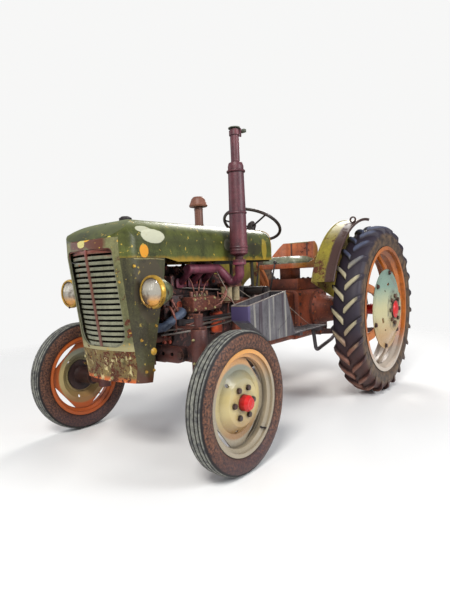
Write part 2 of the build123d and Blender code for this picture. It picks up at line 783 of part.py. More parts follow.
def grille_outline(grow):
    """The grille opening's outline as a sketch, grown outwards by grow, on the plane behind the nose."""
    with BuildSketch(Plane.XZ.offset(-(nose_y + 100))) as outline:
        with Locations((0, (grille_low_z + grille_top_z) / 2)):
            Rectangle(2 * (grille_half + grow), grille_top_z - grille_low_z + 2 * grow)
        fillet(outline.vertices().group_by(Axis.Y)[0], 80 + grow)
        fillet(outline.vertices().group_by(Axis.Y)[-1], 26 + grow)
    return outline.sketch


lip_front = panel_t + seat_gap
with BuildPart() as slats:
    pitch = (grille_top_z - grille_low_z) / slat_count
    for row in range(slat_count):
        z = grille_low_z + (row + 0.5) * pitch - slat_h / 2
        front = lean_y(z + slat_h / 2) + slat_inset
        with BuildSketch(Plane.XY.offset(z)):
            with BuildLine():
                ThreePointArc((-grille_half, front + nose_bow), (0, front), (grille_half, front + nose_bow))
                Line((grille_half, front + nose_bow), (grille_half, front + nose_bow + slat_depth))
                ThreePointArc(
                    (grille_half, front + nose_bow + slat_depth), (0, front + slat_depth),
                    (-grille_half, front + nose_bow + slat_depth),
                )
                Line((-grille_half, front + nose_bow + slat_depth), (-grille_half, front + nose_bow))
            make_face()
        extrude(amount=slat_h)
    with BuildSketch(Plane.YZ.offset(-rib_w / 2)):
        Polygon(
            (lean_y(grille_low_z), grille_low_z), (nose_y, nose_break_z), (nose_y, grille_top_z), (nose_y + 26, grille_top_z), (nose_y + 26, nose_break_z),
            (lean_y(grille_low_z) + 26, grille_low_z), align=None,
        )
    extrude(amount=rib_w)
    extrude(grille_outline(-0.5), amount=170, mode=Mode.INTERSECT)
with BuildPart() as grille:
    add(bodywork(lip_front) - bodywork(lip_front + 5))
    extrude(grille_outline(lip_out), amount=170, mode=Mode.INTERSECT)
    extrude(grille_outline(-lip_in), amount=170, mode=Mode.SUBTRACT)
    add(slats.part)
save(grille, "grille")

# ---- radiator, cap and hoses ----
bracket_top_z = beam_z + beam_h / 2 + 12 + 34
radiator_front_y = nose_y + 128
radiator_t = 70
tank_low_z = 1096
tank_top_z = 1176
with BuildPart() as radiator:
    with BuildSketch(Plane.XY.offset(bracket_top_z)):
        with Locations((0, radiator_front_y + radiator_t / 2)):
            Rectangle(380, radiator_t)
    extrude(amount=tank_low_z - bracket_top_z)
    with BuildSketch(Plane.XY.offset(tank_low_z)):
        with Locations((0, radiator_front_y + 90)):
            RectangleRounded(390, 180, 25)
    extrude(amount=tank_top_z - tank_low_z)
    with BuildSketch(Plane.XY.offset(tank_top_z)):
        with Locations((0, cap_y)):
            Circle(neck_r)
    extrude(amount=hood_top_z + 2 - tank_top_z)
    # filler cap
    with BuildSketch(Plane.XY.offset(hood_top_z + 2)):
        with Locations((0, cap_y)):
            Circle(34)
    extrude(amount=10)
    with BuildSketch(Plane.XY.offset(hood_top_z + 12)):
        with Locations((0, cap_y)):
            RectangleRounded(54, 22, 9)
    extrude(amount=8)
save(radiator, "radiator")


def pipe(points, radius, bend):
    """A round pipe along straight runs joined by arcs, added to the part being built."""
    with BuildLine() as path:
        FilletPolyline(*points, radius=bend)
    with BuildSketch(Plane(path.line @ 0, z_dir=path.line % 0)) as end_face:
        Circle(radius)
    sweep(end_face.sketch, path=path.line)


radiator_back_y = radiator_front_y + radiator_t
plate_front_y = engine_front_y - 44
with BuildPart() as radiator_hoses:
    pipe(
        [(125, radiator_back_y, 690), (125, radiator_back_y + 50, 690), (188, radiator_back_y + 130, 696),
         (188, engine_front_y + 36, 765), (engine_half, engine_front_y + 36, 765)],
        24, 26,
    )
save(radiator_hoses, "radiator_hoses")

# ---- fan, pulleys, belt and dynamo ----
fan_z = 832
crank_z = 730
dynamo_x = -185
dynamo_z = 770
pulley_y = plate_front_y - 34
pulley_t = 22
fan_r = 150
pulleys = ((0, fan_z, 50), (0, crank_z, 62), (dynamo_x, dynamo_z, 36))  # x, z, radius
with BuildPart() as fan_drive:
    for x, z, radius in pulleys:
        with BuildSketch(Plane.XZ.offset(-(pulley_y + pulley_t))):
            with Locations((x, z)):
                Circle(radius)
        extrude(amount=pulley_t)
        with BuildSketch(Plane.XZ.offset(-plate_front_y)):
            with Locations((x, z)):
                Circle(16)
        extrude(amount=plate_front_y - pulley_y - 1)
    with BuildSketch(Plane.XZ.offset(-(pulley_y + 16))) as belt:
        for x, z, radius in pulleys:
            with Locations((x, z)):
                Circle(radius + 7)
        make_hull()
    extrude(amount=10)
    with BuildSketch(Plane.XZ.offset(-pulley_y)):
        with Locations((0, fan_z)):
            Circle(30)
    extrude(amount=40)
    for blade in range(4):
        swing = radians(45 + 90 * blade)
        blade_plane = Plane(
            (0, pulley_y - 30, fan_z), x_dir=(cos(swing), 0, sin(swing)), z_dir=(0, -1, 0)
        )
        with BuildSketch(blade_plane):
            with Locations((fan_r / 2 + 8, 0)):
                Rectangle(fan_r - 16, 62)
        extrude(amount=4)
    # dynamo on the engine's right
    with BuildSketch(Plane.XZ.offset(-(plate_front_y + 230))):
        with Locations((dynamo_x, dynamo_z)):
            Circle(48)
    extrude(amount=228)
    with BuildSketch(Plane.XZ.offset(-(engine_front_y + 120))):
        with Locations((-engine_half - 10, dynamo_z - 20)):
            Rectangle(20, 60)
    extrude(amount=60)
save(fan_drive, "fan_drive")

# ---- injection pump and filters on the engine's left ----
with BuildPart() as fuel_system:
    pump_y = rear_axle_y - 1560
    with BuildSketch(Plane.XZ.offset(-(pump_y + 100))):
        with Locations((engine_half + 45, 800)):
            RectangleRounded(90, 84, 14)
    extrude(amount=200)
    with BuildSketch(Plane.XZ.offset(-(pump_y + 170))):
        with Locations((engine_half + 45, 792)):
            Circle(38)
    extrude(amount=70)
    with BuildSketch(Plane.XY.offset(842)):
        with Locations(*[(engine_half + 45, pump_y - 66 + 44 * line) for line in range(4)]):
            Circle(11)
    extrude(amount=30)
    # twin filters behind the pump
    for y in (rear_axle_y - 1300, rear_axle_y - 1222):
        with BuildSketch(Plane.XY.offset(790)):
            with Locations((engine_half + 50, y)):
                Circle(34)
        extrude(amount=95)
    with BuildSketch(Plane.XY.offset(885)):
        with Locations((engine_half + 45, rear_axle_y - 1261)):
            RectangleRounded(90, 150, 12)
    extrude(amount=24)
save(fuel_system, "fuel_system")

# ---- exhaust ----
stack_gap = 65  # hood's side to the stack's middle
stack_x = hood_half_w + stack_gap
stack_y = rear_axle_y - 1332
stack_low_z = 1030
manifold_x = 205
manifold_z = 1000
with BuildPart() as exhaust_manifold:
    for y in (-1650, -1550, -1450):
        with BuildSketch(lying_in_x(115, rear_axle_y + y, 925)):
            RectangleRounded(84, 56, 12)
        extrude(amount=16)
        bar((128, rear_axle_y + y, 930), (manifold_x, rear_axle_y + y, manifold_z - 4), 20)
    pipe(
        [(manifold_x, rear_axle_y - 1680, manifold_z), (manifold_x, rear_axle_y - 1400, manifold_z),
         (stack_x - 58, stack_y + 6, 905), (stack_x, stack_y, 950), (stack_x, stack_y, stack_low_z)],
        27, 30,
    )
    with BuildSketch(Plane.XY.offset(stack_low_z - 14)):
        with Locations((stack_x, stack_y)):
            Circle(40)
    extrude(amount=14)
save(exhaust_manifold, "exhaust_manifold")

muffler_r = 53
tail_r = 26
stack_top_z = 1800
with BuildPart() as exhaust_stack:
    # radius and height up the stack, from the flange to the tail pipe's rim
    stack_side = [
        (0, 0), (40, 0), (40, 10), (24, 12), (24, 36), (muffler_r, 52), (muffler_r - 7, 560),
        (muffler_r - 12, 578), (tail_r, 586), (tail_r, stack_top_z - stack_low_z), (0, stack_top_z - stack_low_z),
    ]
    with BuildSketch(Plane((stack_x, stack_y, stack_low_z), x_dir=(1, 0, 0), z_dir=(0, -1, 0))):
        Polygon(*stack_side, align=None)
    revolve(axis=Axis((stack_x, stack_y, stack_low_z), (0, 0, 1)))
    with BuildSketch(Plane.XY.offset(stack_top_z + 1)):
        with Locations((stack_x, stack_y)):
            Circle(tail_r - 3)
    extrude(amount=-200, mode=Mode.SUBTRACT)
    # clamp with the rain cap's hinge ears
    with BuildSketch(Plane.XY.offset(stack_top_z - 34)):
        with Locations((stack_x, stack_y)):
            Circle(tail_r + 5)
            Circle(tail_r - 1, mode=Mode.SUBTRACT)
        for ear in (-11, 11):
            with Locations((stack_x + ear, stack_y + tail_r + 14)):
                Rectangle(6, 22)
    extrude(amount=26)
    for ear in (-11, 11):
        with BuildSketch(Plane.XY.offset(stack_top_z - 9)):
            with Locations((stack_x + ear, stack_y + tail_r + 18)):
                Rectangle(6, 14)
        extrude(amount=24)
save(exhaust_stack, "exhaust_stack")

flap_y = stack_y + tail_r + 18
flap_z = stack_top_z + 8
with BuildPart() as rain_flap:
    with BuildSketch(Plane.XY.offset(stack_top_z + 5.3)):
        with Locations((stack_x, stack_y)):
            Circle(tail_r + 9)
        with Locations((stack_x, stack_y + 22)):
            Rectangle(14, 52)
    extrude(amount=5)
    bar((stack_x - 7.5, flap_y, flap_z), (stack_x + 7.5, flap_y, flap_z), 6)
    with BuildSketch(Plane.XY.offset(stack_top_z + 3)):
        with Locations((stack_x, flap_y + 46)):
            RectangleRounded(34, 26, 5)
    extrude(amount=16)
    with BuildSketch(Plane.XY.offset(stack_top_z + 5.3)):
        with Locations((stack_x, flap_y + 18)):
            Rectangle(14, 40)
    extrude(amount=5)
save(rain_flap, "rain_flap")

# ---- air cleaner under the hood, its stem and pre-cleaner above ----
with BuildPart() as air_cleaner:
    with BuildSketch(Plane.XY.offset(cover_top_z)):
        with Locations((stem_x, stem_y)):
            Circle(72)
    extrude(amount=120)
    with BuildSketch(Plane.XY.offset(cover_top_z + 120)):
        with Locations((stem_x, stem_y)):
            Circle(stem_r)
    extrude(amount=1418 - cover_top_z - 120)
    cap_side = [(0, 0), (58, 0), (62, 8), (58, 16), (44, 52), (32, 64), (0, 66)]
    with BuildSketch(Plane((stem_x, stem_y, 1418), x_dir=(1, 0, 0), z_dir=(0, -1, 0))):
        Polygon(*cap_side, align=None)
    revolve(axis=Axis((stem_x, stem_y, 1418), (0, 0, 1)))
save(air_cleaner, "air_cleaner")

# ---- headlamps on the side panels ----
lamp_r = 80
lamp_x = hood_half_w + lamp_r + 4
lamp_y = nose_y + 114
lamp_z = 893
with BuildPart() as headlamp:
    # radius and depth behind the rim
    bowl = [(lamp_r - 12, 2), (lamp_r - 3, 0), (lamp_r, 6), (lamp_r - 4, 18), (lamp_r - 8, 24), (lamp_r - 14, 60),
            (44, 104), (20, 122), (0, 126), (0, 122), (18, 118), (40, 100), (lamp_r - 18, 58), (lamp_r - 12, 24)]
    with BuildSketch(Plane((lamp_x, lamp_y, lamp_z), x_dir=(1, 0, 0), z_dir=(0, 0, -1))):
        Polygon(*[(r, -depth) for r, depth in bowl], align=None)
    revolve(axis=Axis((lamp_x, lamp_y, lamp_z), (0, 1, 0)))
    with BuildSketch(lying_in_x(hood_half_w + seat_gap, lamp_y + 70, lamp_z - 30)):
        Circle(20)
    extrude(amount=40)
save_both_sides(headlamp, "headlamps")

lens_r = lamp_r - 12 - seat_gap
lens_t = 4
lens_dome = 20


def cap_line(rise):
    """Half of a shallow dome as (radius, height): apex, middle, edge, lowered by rise."""
    ball = (lens_r**2 + lens_dome**2) / (2 * lens_dome)
    return [(r, lens_dome - 3 - rise - (ball - (ball**2 - r**2) ** 0.5)) for r in (0, lens_r / 2, lens_r)]


with BuildPart() as lens:
    with BuildSketch(Plane((lamp_x, lamp_y, lamp_z), x_dir=(1, 0, 0), z_dir=(0, 0, -1))):
        with BuildLine():
            ThreePointArc(*cap_line(0))
            Line(cap_line(0)[2], cap_line(lens_t)[2])
            ThreePointArc(*reversed(cap_line(lens_t)))
            Line(cap_line(lens_t)[0], cap_line(0)[0])
        make_face()
    revolve(axis=Axis((lamp_x, lamp_y, lamp_z), (0, 1, 0)))
save_both_sides(lens, "headlamp_lenses")

# ---- instrument panel closing the hood ----
dash_y = hood_end_y - 30
dash_t = 4
with BuildPart() as dash:
    add(bodywork(panel_t + seat_gap))
    with BuildSketch(Plane.XZ.offset(-(dash_y + dash_t))):
        with Locations((0, 1160)):
            Rectangle(600, 240)
    extrude(amount=dash_t, mode=Mode.INTERSECT)
    for x, radius in ((-110, 38), (0, 46), (110, 38)):
        with BuildSketch(Plane.XZ.offset(-(dash_y + dash_t + 14))):
            with Locations((x, 1158)):
                Circle(radius)
                Circle(radius - 6, mode=Mode.SUBTRACT)
        extrude(amount=14)
    for side in (-1, 1):
        with BuildSketch(Plane.XY.offset(gearbox_top_z)):
            with Locations((side * 92, dash_y + dash_t + 16)):
                Rectangle(6, 32)
        extrude(amount=300)
save(dash, "instrument_panel")

# ---- fenders ----
fender_r = 704
fender_t = 4
fender_in_x = trumpet_end_x - 22
fender_out_x = rear_x - 50
fender_low_r = 300
fender_start = 20  # degrees above the horizontal, at the front
fender_sweep = 72
with BuildPart() as fender:
    start = radians(fender_start)
    start_plane = Plane(
        (0, rear_axle_y, rear_axle_z), x_dir=(1, 0, 0), z_dir=(0, -sin(start), -cos(start))
    )
    with BuildSketch(start_plane):
        Polygon(
            (fender_in_x, fender_low_r), (fender_in_x, fender_r), (fender_out_x, fender_r),
            (fender_out_x, fender_r - 16), (fender_out_x - fender_t, fender_r - 16),
            (fender_out_x - fender_t, fender_r - fender_t), (fender_in_x + fender_t, fender_r - fender_t),
            (fender_in_x + fender_t, fender_low_r), align=None,
        )
    revolve(axis=Axis((0, rear_axle_y, rear_axle_z), (-1, 0, 0)), revolution_arc=fender_sweep)
    # foot on the axle housing
    with BuildSketch(Plane.XZ.offset(-(rear_axle_y + 45))):
        with Locations((fender_in_x - 6, rear_axle_z + 78 + seat_gap + 140)):
            Rectangle(12, 280)
    extrude(amount=90)
    # eye for a rear lamp or a flag
    eye = radians(70)
    eye_y = rear_axle_y - (fender_r + 22) * cos(eye)
    eye_z = rear_axle_z + (fender_r + 22) * sin(eye)
    with BuildSketch(Plane.XZ.offset(-(eye_y + 5))):
        with Locations((fender_out_x - 22, eye_z)):
            Circle(24)
            Circle(14, mode=Mode.SUBTRACT)
    extrude(amount=10)
save_both_sides(fender, "fenders")

# ---- seat ----
pan_y = rear_axle_y - 175
pan_z = 990
pan_w = 430
pan_l = 390
pan_t = 4
cover_top = cover_low_z + 90
with BuildPart() as seat_pan:
    with BuildSketch(Plane.XY.offset(pan_z)):
        with Locations((0, pan_y)):
            RectangleRounded(pan_w, pan_l, 110)
    extrude(amount=230)
    with BuildSketch(Plane.XY.offset(pan_z + pan_t)):
        with Locations((0, pan_y)):
            RectangleRounded(pan_w - 2 * pan_t, pan_l - 2 * pan_t, 110 - pan_t)
    extrude(amount=240, mode=Mode.SUBTRACT)
    with BuildSketch(Plane.YZ.offset(-pan_w)):
        with BuildLine():
            Line((pan_y - pan_l, pan_z + 34), (pan_y - 60, pan_z + 42))
            ThreePointArc(
                (pan_y - 60, pan_z + 42), (pan_y + 60, pan_z + 90), (pan_y + pan_l / 2 - 10, pan_z + 225)
            )
            Polyline(
                (pan_y + pan_l / 2 - 10, pan_z + 225), (pan_y + pan_l, pan_z + 225), (pan_y + pan_l, pan_z + 300),
                (pan_y - pan_l, pan_z + 300), (pan_y - pan_l, pan_z + 34),
            )
        make_face()
    extrude(amount=2 * pan_w, mode=Mode.SUBTRACT)
    # pedestal on the lift cover
    with BuildSketch(Plane.XY.offset(cover_top)):
        with Locations((0, pan_y + 20)):
            Rectangle(110, 150)
    extrude(amount=pan_z - cover_top)
save(seat_pan, "seat_pan")

cushion_gap = 3
with BuildPart() as cushion:
    with BuildSketch(Plane.XY.offset(pan_z + pan_t)):
        with Locations((0, pan_y)):
            RectangleRounded(pan_w - 2 * pan_t - 2 * cushion_gap, pan_l - 2 * pan_t - 2 * cushion_gap, 100)
    extrude(amount=72)
    fillet(cushion.faces().sort_by(Axis.Z)[-1].edges(), 24)
save(cushion, "seat_cushion")

# ---- levers, pedals, footboards ----
with BuildPart() as levers:
    # x, y from the rear axle, foot height, knob's lean back, length
    for x, y, foot, back, length in (
        (-30, -640, gearbox_top_z, 60, 250), (45, -560, gearbox_top_z, 90, 230), (112, 60, cover_top, 50, 240),
        (126, 96, cover_top, 30, 200),
    ):
        base = Vector(x, rear_axle_y + y, foot + 10)
        top = base + Vector(0, back, length)
        bar(base, top, 6)
        with BuildSketch(Plane.XY.offset(foot)):
            with Locations((x, rear_axle_y + y)):
                Circle(12 if foot == cover_top else 20)
        extrude(amount=16)
        with Locations(top):
            Sphere(14)
save(levers, "control_levers")

pedal_y = rear_axle_y - 720
with BuildPart() as pedals:
    # x of each arm, side of the machine
    for x, side in ((196, 1), (-176, -1), (-212, -1)):
        with BuildSketch(lying_in_x(x - 7, pedal_y, 540)):
            Circle(28)
        extrude(amount=14)
        bar((x, pedal_y, 540), (x, pedal_y - 190, 700), 9)
        with BuildSketch(Plane((x, pedal_y - 190, 700), x_dir=(1, 0, 0), z_dir=(0, -0.5, 0.87)).offset(4)):
            Rectangle(64 if side > 0 else 30, 84)
        extrude(amount=6)
    for low_x, high_x in ((gearbox_half, 203), (-219, -gearbox_half)):
        with BuildSketch(lying_in_x(low_x, pedal_y, 540)):
            Circle(14)
        extrude(amount=high_x - low_x)
save(pedals, "pedals")

board_z = 566
board_in_x = 356
board_out_x = 500
step_rod_x = 440
rod_tie_x = trumpet_end_x - 28.5  # where the step's rod meets the axle housing
with BuildPart() as footboard:
    with BuildSketch(Plane.XY.offset(board_z)):
        with Locations(((board_in_x + board_out_x) / 2, rear_axle_y - 805)):
            Rectangle(board_out_x - board_in_x, 530)
    extrude(amount=8)
    for y in (-930, -640):
        with BuildSketch(Plane.XY.offset(board_z - 20)):
            with Locations(((gearbox_half + board_out_x) / 2, rear_axle_y + y)):
                Rectangle(board_out_x - gearbox_half, 40)
        extrude(amount=20)
    # bent rod from the board's bracket back to the axle housing
    pipe(
        [
            (step_rod_x, rear_axle_y - 640, board_z - 20), (step_rod_x, rear_axle_y - 600, 392),
            (rod_tie_x, rear_axle_y - 340, 440), (rod_tie_x, rear_axle_y - 30, 560),
        ],
        13, 36,
    )
save_both_sides(footboard, "footboards")

# ---- sheet-metal bin slung on the left side ----
bin_in_x = 438
bin_out_x = 548
bin_t = 2.5
# outline in (y from the rear axle, z): front top, back top, back foot, middle foot, front foot
bin_side = [(-1600, 790), (-1201, 848), (-1095, 578), (-1395, 578), (-1600, 712)]
with BuildPart() as side_bin:
    with BuildSketch(Plane.YZ.offset(bin_in_x)):
        Polygon(*[(rear_axle_y + y, z) for y, z in bin_side], align=None)
    extrude(amount=bin_out_x - bin_in_x)
    with BuildSketch(Plane.YZ.offset(bin_in_x + bin_t)):
        Polygon(*[(rear_axle_y + y, z) for y, z in bin_side], align=None)
        offset(amount=-bin_t)
        Polygon(
            (rear_axle_y - 1600 + bin_t, 780), (rear_axle_y - 1600 + bin_t, 860), (rear_axle_y - 1206, 860),
            (rear_axle_y - 1203.5, 842), align=None,
        )
    extrude(amount=bin_out_x - bin_in_x - 2 * bin_t, mode=Mode.SUBTRACT)
save(side_bin, "side_bin")

with BuildPart() as bin_wires:
    bar((bin_in_x - 1.6, rear_axle_y - 1560, 790), (manifold_x + 20.3, rear_axle_y - 1440, manifold_z - 18.6), 1.6)
    bar((bin_in_x - 1.6, rear_axle_y - 1380, 810), (engine_half + 91, rear_axle_y - 1310, 906), 1.6)
    bar((bin_in_x + 20, rear_axle_y - 1195.8, 840), (bin_in_x - 20, rear_axle_y - 640, board_z + 9.9), 1.6)
save(bin_wires, "bin_wires")

# ---- three-point linkage ----
link_end_x = 365
link_end_z = 372
ball_r = 26
link_end_y = rear_axle_y + link_overhang - ball_r
eye_r = 11.2
with BuildPart() as lower_link:
    start = Vector(link_pin_x, link_pin_y, link_pin_z)
    end = Vector(link_end_x, link_end_y, link_end_z)
    along = (end - start).normalized()
    with BuildSketch(Plane(start + along * 14, x_dir=(1, -along.X / along.Y, 0), z_dir=along)):
        Rectangle(14, 46)
    extrude(amount=(end - start).length - 28)
    with BuildSketch(lying_in_x(link_pin_x - 19, link_pin_y, link_pin_z)):
        Circle(28)
        Circle(link_pin_r + running, mode=Mode.SUBTRACT)
    extrude(amount=38)
    with BuildSketch(lying_in_x(link_end_x - 17.5, link_end_y, link_end_z)):
        Circle(ball_r)
        Circle(eye_r, mode=Mode.SUBTRACT)
    extrude(amount=35)
save_both_sides(lower_link, "lower_links")
lift_drop = 20  # degrees the arms hang below level
with BuildPart() as lift_arms:
    for side in (-1, 1):
        with BuildSketch(lying_in_x(side * (lift_arm_x + 9) - 9, 0, 0)):
            tip = (lift_y + lift_arm * cos(radians(lift_drop)), lift_z - lift_arm * sin(radians(lift_drop)))
            with Locations((lift_y, lift_z)):
                Circle(34)
            with Locations(tip):
                Circle(20)
            make_hull()
            with Locations((lift_y, lift_z)):
                Circle(lift_shaft_r + running, mode=Mode.SUBTRACT)
        extrude(amount=18)
        # pin for the lift rod
        with BuildSketch(lying_in_x(side * (lift_arm_x + 17), *tip)):
            Circle(rod_pin_r)
        extrude(amount=side * 34)
save(lift_arms, "lift_arms")

link_length = hypot(link_end_y - link_pin_y, link_pin_z - link_end_z)
rod_share = 0.55  # where the lift rods reach down to, along the lower links
rod_foot = (
    link_pin_y + rod_share * (link_end_y - link_pin_y), link_pin_z - rod_share * (link_pin_z - link_end_z)
)
rod_foot_x = link_pin_x + rod_share * (link_end_x - link_pin_x) + 38
arm_tip = (lift_y + lift_arm * cos(radians(lift_drop)), lift_z - lift_arm * sin(radians(lift_drop)))
with BuildPart() as lift_rod:
    bar((lift_arm_x + 38, arm_tip[0], arm_tip[1] - 10), (rod_foot_x, rod_foot[0], rod_foot[1] + 10), 13)
    with BuildSketch(lying_in_x(lift_arm_x + 24, *arm_tip)):
        Circle(22)
    extrude(amount=24)
    with BuildSketch(lying_in_x(lift_arm_x + 20, *arm_tip)):
        Circle(rod_pin_r + running)
    extrude(amount=40, mode=Mode.SUBTRACT)
    with BuildSketch(lying_in_x(rod_foot_x - 13, *rod_foot)):
        Circle(22)
    extrude(amount=26)
save_both_sides(lift_rod, "lift_rods")
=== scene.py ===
import json
import math

import bmesh
import bpy
from mathutils import Matrix, Vector


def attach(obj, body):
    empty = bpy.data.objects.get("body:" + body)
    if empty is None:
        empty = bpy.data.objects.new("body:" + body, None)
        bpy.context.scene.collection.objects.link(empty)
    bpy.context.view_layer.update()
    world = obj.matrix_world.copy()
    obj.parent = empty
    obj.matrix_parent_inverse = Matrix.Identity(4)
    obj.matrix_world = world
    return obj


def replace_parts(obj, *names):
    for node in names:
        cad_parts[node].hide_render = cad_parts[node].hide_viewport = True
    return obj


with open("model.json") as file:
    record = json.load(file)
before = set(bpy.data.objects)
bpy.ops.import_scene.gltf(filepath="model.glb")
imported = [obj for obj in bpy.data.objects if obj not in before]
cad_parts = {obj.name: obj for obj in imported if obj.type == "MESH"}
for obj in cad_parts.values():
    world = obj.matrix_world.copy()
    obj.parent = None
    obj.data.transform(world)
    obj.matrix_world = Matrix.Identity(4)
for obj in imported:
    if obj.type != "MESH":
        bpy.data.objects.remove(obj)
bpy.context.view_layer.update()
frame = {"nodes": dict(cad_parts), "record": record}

scene = bpy.context.scene
nodes_of = frame["nodes"]
body_of_node = {n: b for b, ns in frame["record"]["behaviour"]["bodies"].items() for n in ns}
slot_of_node = {s["node"]: s["material_slot"] for s in frame["record"]["subparts"]}

# ---- places of the machine, in metres
FRONT_AXLE_Y, FRONT_R, FRONT_X = -1.127, 0.348, 0.6355  # axle, tyre radius, tyre's middle plane
REAR_AXLE_Y, REAR_R, REAR_X = 0.703, 0.642, 0.6585
LAMP_X, LAMP_Z = 0.334, 0.893
STACK_X, STACK_Y = 0.315, -0.629
FILTER_X, FILTER_YS = 0.185, (-0.5975, -0.5195)
PUMP_X, PUMP_Y, PUMP_PITCH = 0.180, -0.900, 0.044  # the pump's unions
DIAL_Z, DIALS = 1.158, (-0.11, 0, 0.11)
FENDER_R, FENDER_EDGES = 0.704, (0.4475, 0.6085)

# ---- camera, light, floor
CAMERA_PLACE = (1.8779, -2.8343, 0.9538)
FOCAL = 447.84 / 600  # focal length as a share of the frame's long side
SENSOR = 36
azimuth, elevation, roll = (math.radians(a) for a in (39.666, 5.046, -2.633))
back = Vector((math.sin(azimuth) * math.cos(elevation), -math.cos(azimuth) * math.cos(elevation), math.sin(elevation)))
level_right = Vector((math.cos(azimuth), math.sin(azimuth), 0))
level_up = back.cross(level_right)
right = level_right * math.cos(roll) + level_up * math.sin(roll)
up = level_up * math.cos(roll) - level_right * math.sin(roll)
camera = bpy.data.objects.new("camera", bpy.data.cameras.new("camera"))
scene.collection.objects.link(camera)
camera.matrix_world = Matrix.Translation(CAMERA_PLACE) @ Matrix((right, up, back)).transposed().to_4x4()
camera.data.sensor_width = SENSOR
camera.data.lens = FOCAL * SENSOR
camera.data.shift_x = 0.0290
camera.data.shift_y = 0.0271
camera.data.clip_start = 0.05
scene.camera = camera

scene.view_settings.view_transform = "Standard"


def softbox(name, place, aim, size, power, tint):
    """A square lamp at a place, turned towards a point."""
    lamp = bpy.data.objects.new(name, bpy.data.lights.new(name, "AREA"))
    lamp.data.shape = "RECTANGLE"
    lamp.data.size, lamp.data.size_y = size
    lamp.data.energy = power
    lamp.data.color = tint
    lamp.location = place
    lamp.rotation_euler = (Vector(aim) - Vector(place)).to_track_quat("-Z", "Y").to_euler()
    scene.collection.objects.link(lamp)


softbox("key", (2.2, -4.8, 4.8), (0, -0.3, 0.8), (1.8, 1.8), 300, (1, 0.98, 0.94))
softbox("side", (5.2, 0.2, 2.8), (0, 0.1, 0.7), (1.8, 1.8), 170, (0.96, 0.98, 1))
softbox("fill", (-4.6, -3.4, 2.8), (0, -0.4, 0.8), (3, 3), 60, (0.95, 0.97, 1))
softbox("rim", (-2.2, 4.6, 4.4), (0, 0.4, 0.9), (2.4, 2.4), 230, (1, 0.97, 0.93))

PAPER = (0.93, 0.93, 0.925, 1)


class Graph:
    """Builds one node tree, a node at a time."""

    def __init__(self, tree):
        self.tree = tree
        tree.nodes.clear()

    def add(self, kind, settings=None, **inputs):
        node = self.tree.nodes.new(kind)
        for key, value in (settings or {}).items():
            setattr(node, key, value)
        for key, value in inputs.items():
            socket = node.inputs[int(key[1:])] if key[0] == "i" and key[1:].isdigit() else node.inputs[key.replace("_",
                " ")]
            if isinstance(value, bpy.types.NodeSocket):
                self.tree.links.new(value, socket)
            else:
                socket.default_value = value
        return node

    def noise(self, vector, scale, detail=5.0, rough=0.6, warp=0.0):
        return self.add("ShaderNodeTexNoise", Vector=vector, Scale=scale, Detail=detail, Roughness=rough,
                        Distortion=warp).outputs["Fac"]

    def step(self, value, low, high, to_low=0.0, to_high=1.0):
        return self.add("ShaderNodeMapRange", i0=value, i1=low, i2=high, i3=to_low, i4=to_high).outputs[0]

    def mix(self, amount, first, second, mode="MIX"):
        node = self.add("ShaderNodeMix", {"data_type": "RGBA", "blend_type": mode}, i0=amount, i6=first, i7=second)
        return node.outputs[2]

    def fold(self, operation, values):
        total = values[0]
        for value in values[1:]:
            total = self.add("ShaderNodeMath", {"operation": operation}, i0=total, i1=value).outputs[0]
        return total

    def sum(self, *values):
        return self.fold("ADD", values)

    def times(self, *values):
        return self.fold("MULTIPLY", values)

    def most(self, *values):
        return self.fold("MAXIMUM", values)

    def axis(self, vector, letter):
        return self.add("ShaderNodeSeparateXYZ", i0=vector).outputs[letter]

    def where(self):
        return self.add("ShaderNodeTexCoord").outputs["Object"]

    def height(self):
        return self.axis(self.where(), "Z")

    def off(self, centre, scale=(1, 1, 1)):
        """Distance from a point of the machine, each axis scaled: (0, 1, 1) gives the radius from an axle."""
        gap = self.add("ShaderNodeVectorMath", {"operation": "SUBTRACT"}, i0=self.where(), i1=centre).outputs[0]
        gap = self.add("ShaderNodeVectorMath", {"operation": "MULTIPLY"}, i0=gap, i1=scale).outputs[0]
        return self.add("ShaderNodeVectorMath", {"operation": "LENGTH"}, i0=gap).outputs["Value"]

    def blob(self, centre, spans, ragged=None, amount=0.25):
        """1 inside an oval patch, with an edge broken up by a noise."""
        reach = self.off(centre, tuple(1 / s for s in spans))
        if ragged is not None:
            reach = self.sum(reach, self.times(self.sum(ragged, -0.5), amount))
        return self.step(reach, 1.04, 0.96)


world = bpy.data.worlds.new("studio")
scene.world = world
world.use_nodes = True
g = Graph(world.node_tree)
path = g.add("ShaderNodeLightPath")
seen = g.most(path.outputs["Is Camera Ray"], path.outputs["Is Transmission Ray"])
lit = g.add("ShaderNodeBackground", Color=(0.90, 0.93, 1.0, 1), Strength=0.34)
shown = g.add("ShaderNodeBackground", Color=PAPER, Strength=1.0)
g.add("ShaderNodeOutputWorld", Surface=g.add("ShaderNodeMixShader", i0=seen, i1=lit.outputs[0],
    i2=shown.outputs[0]).outputs[0])

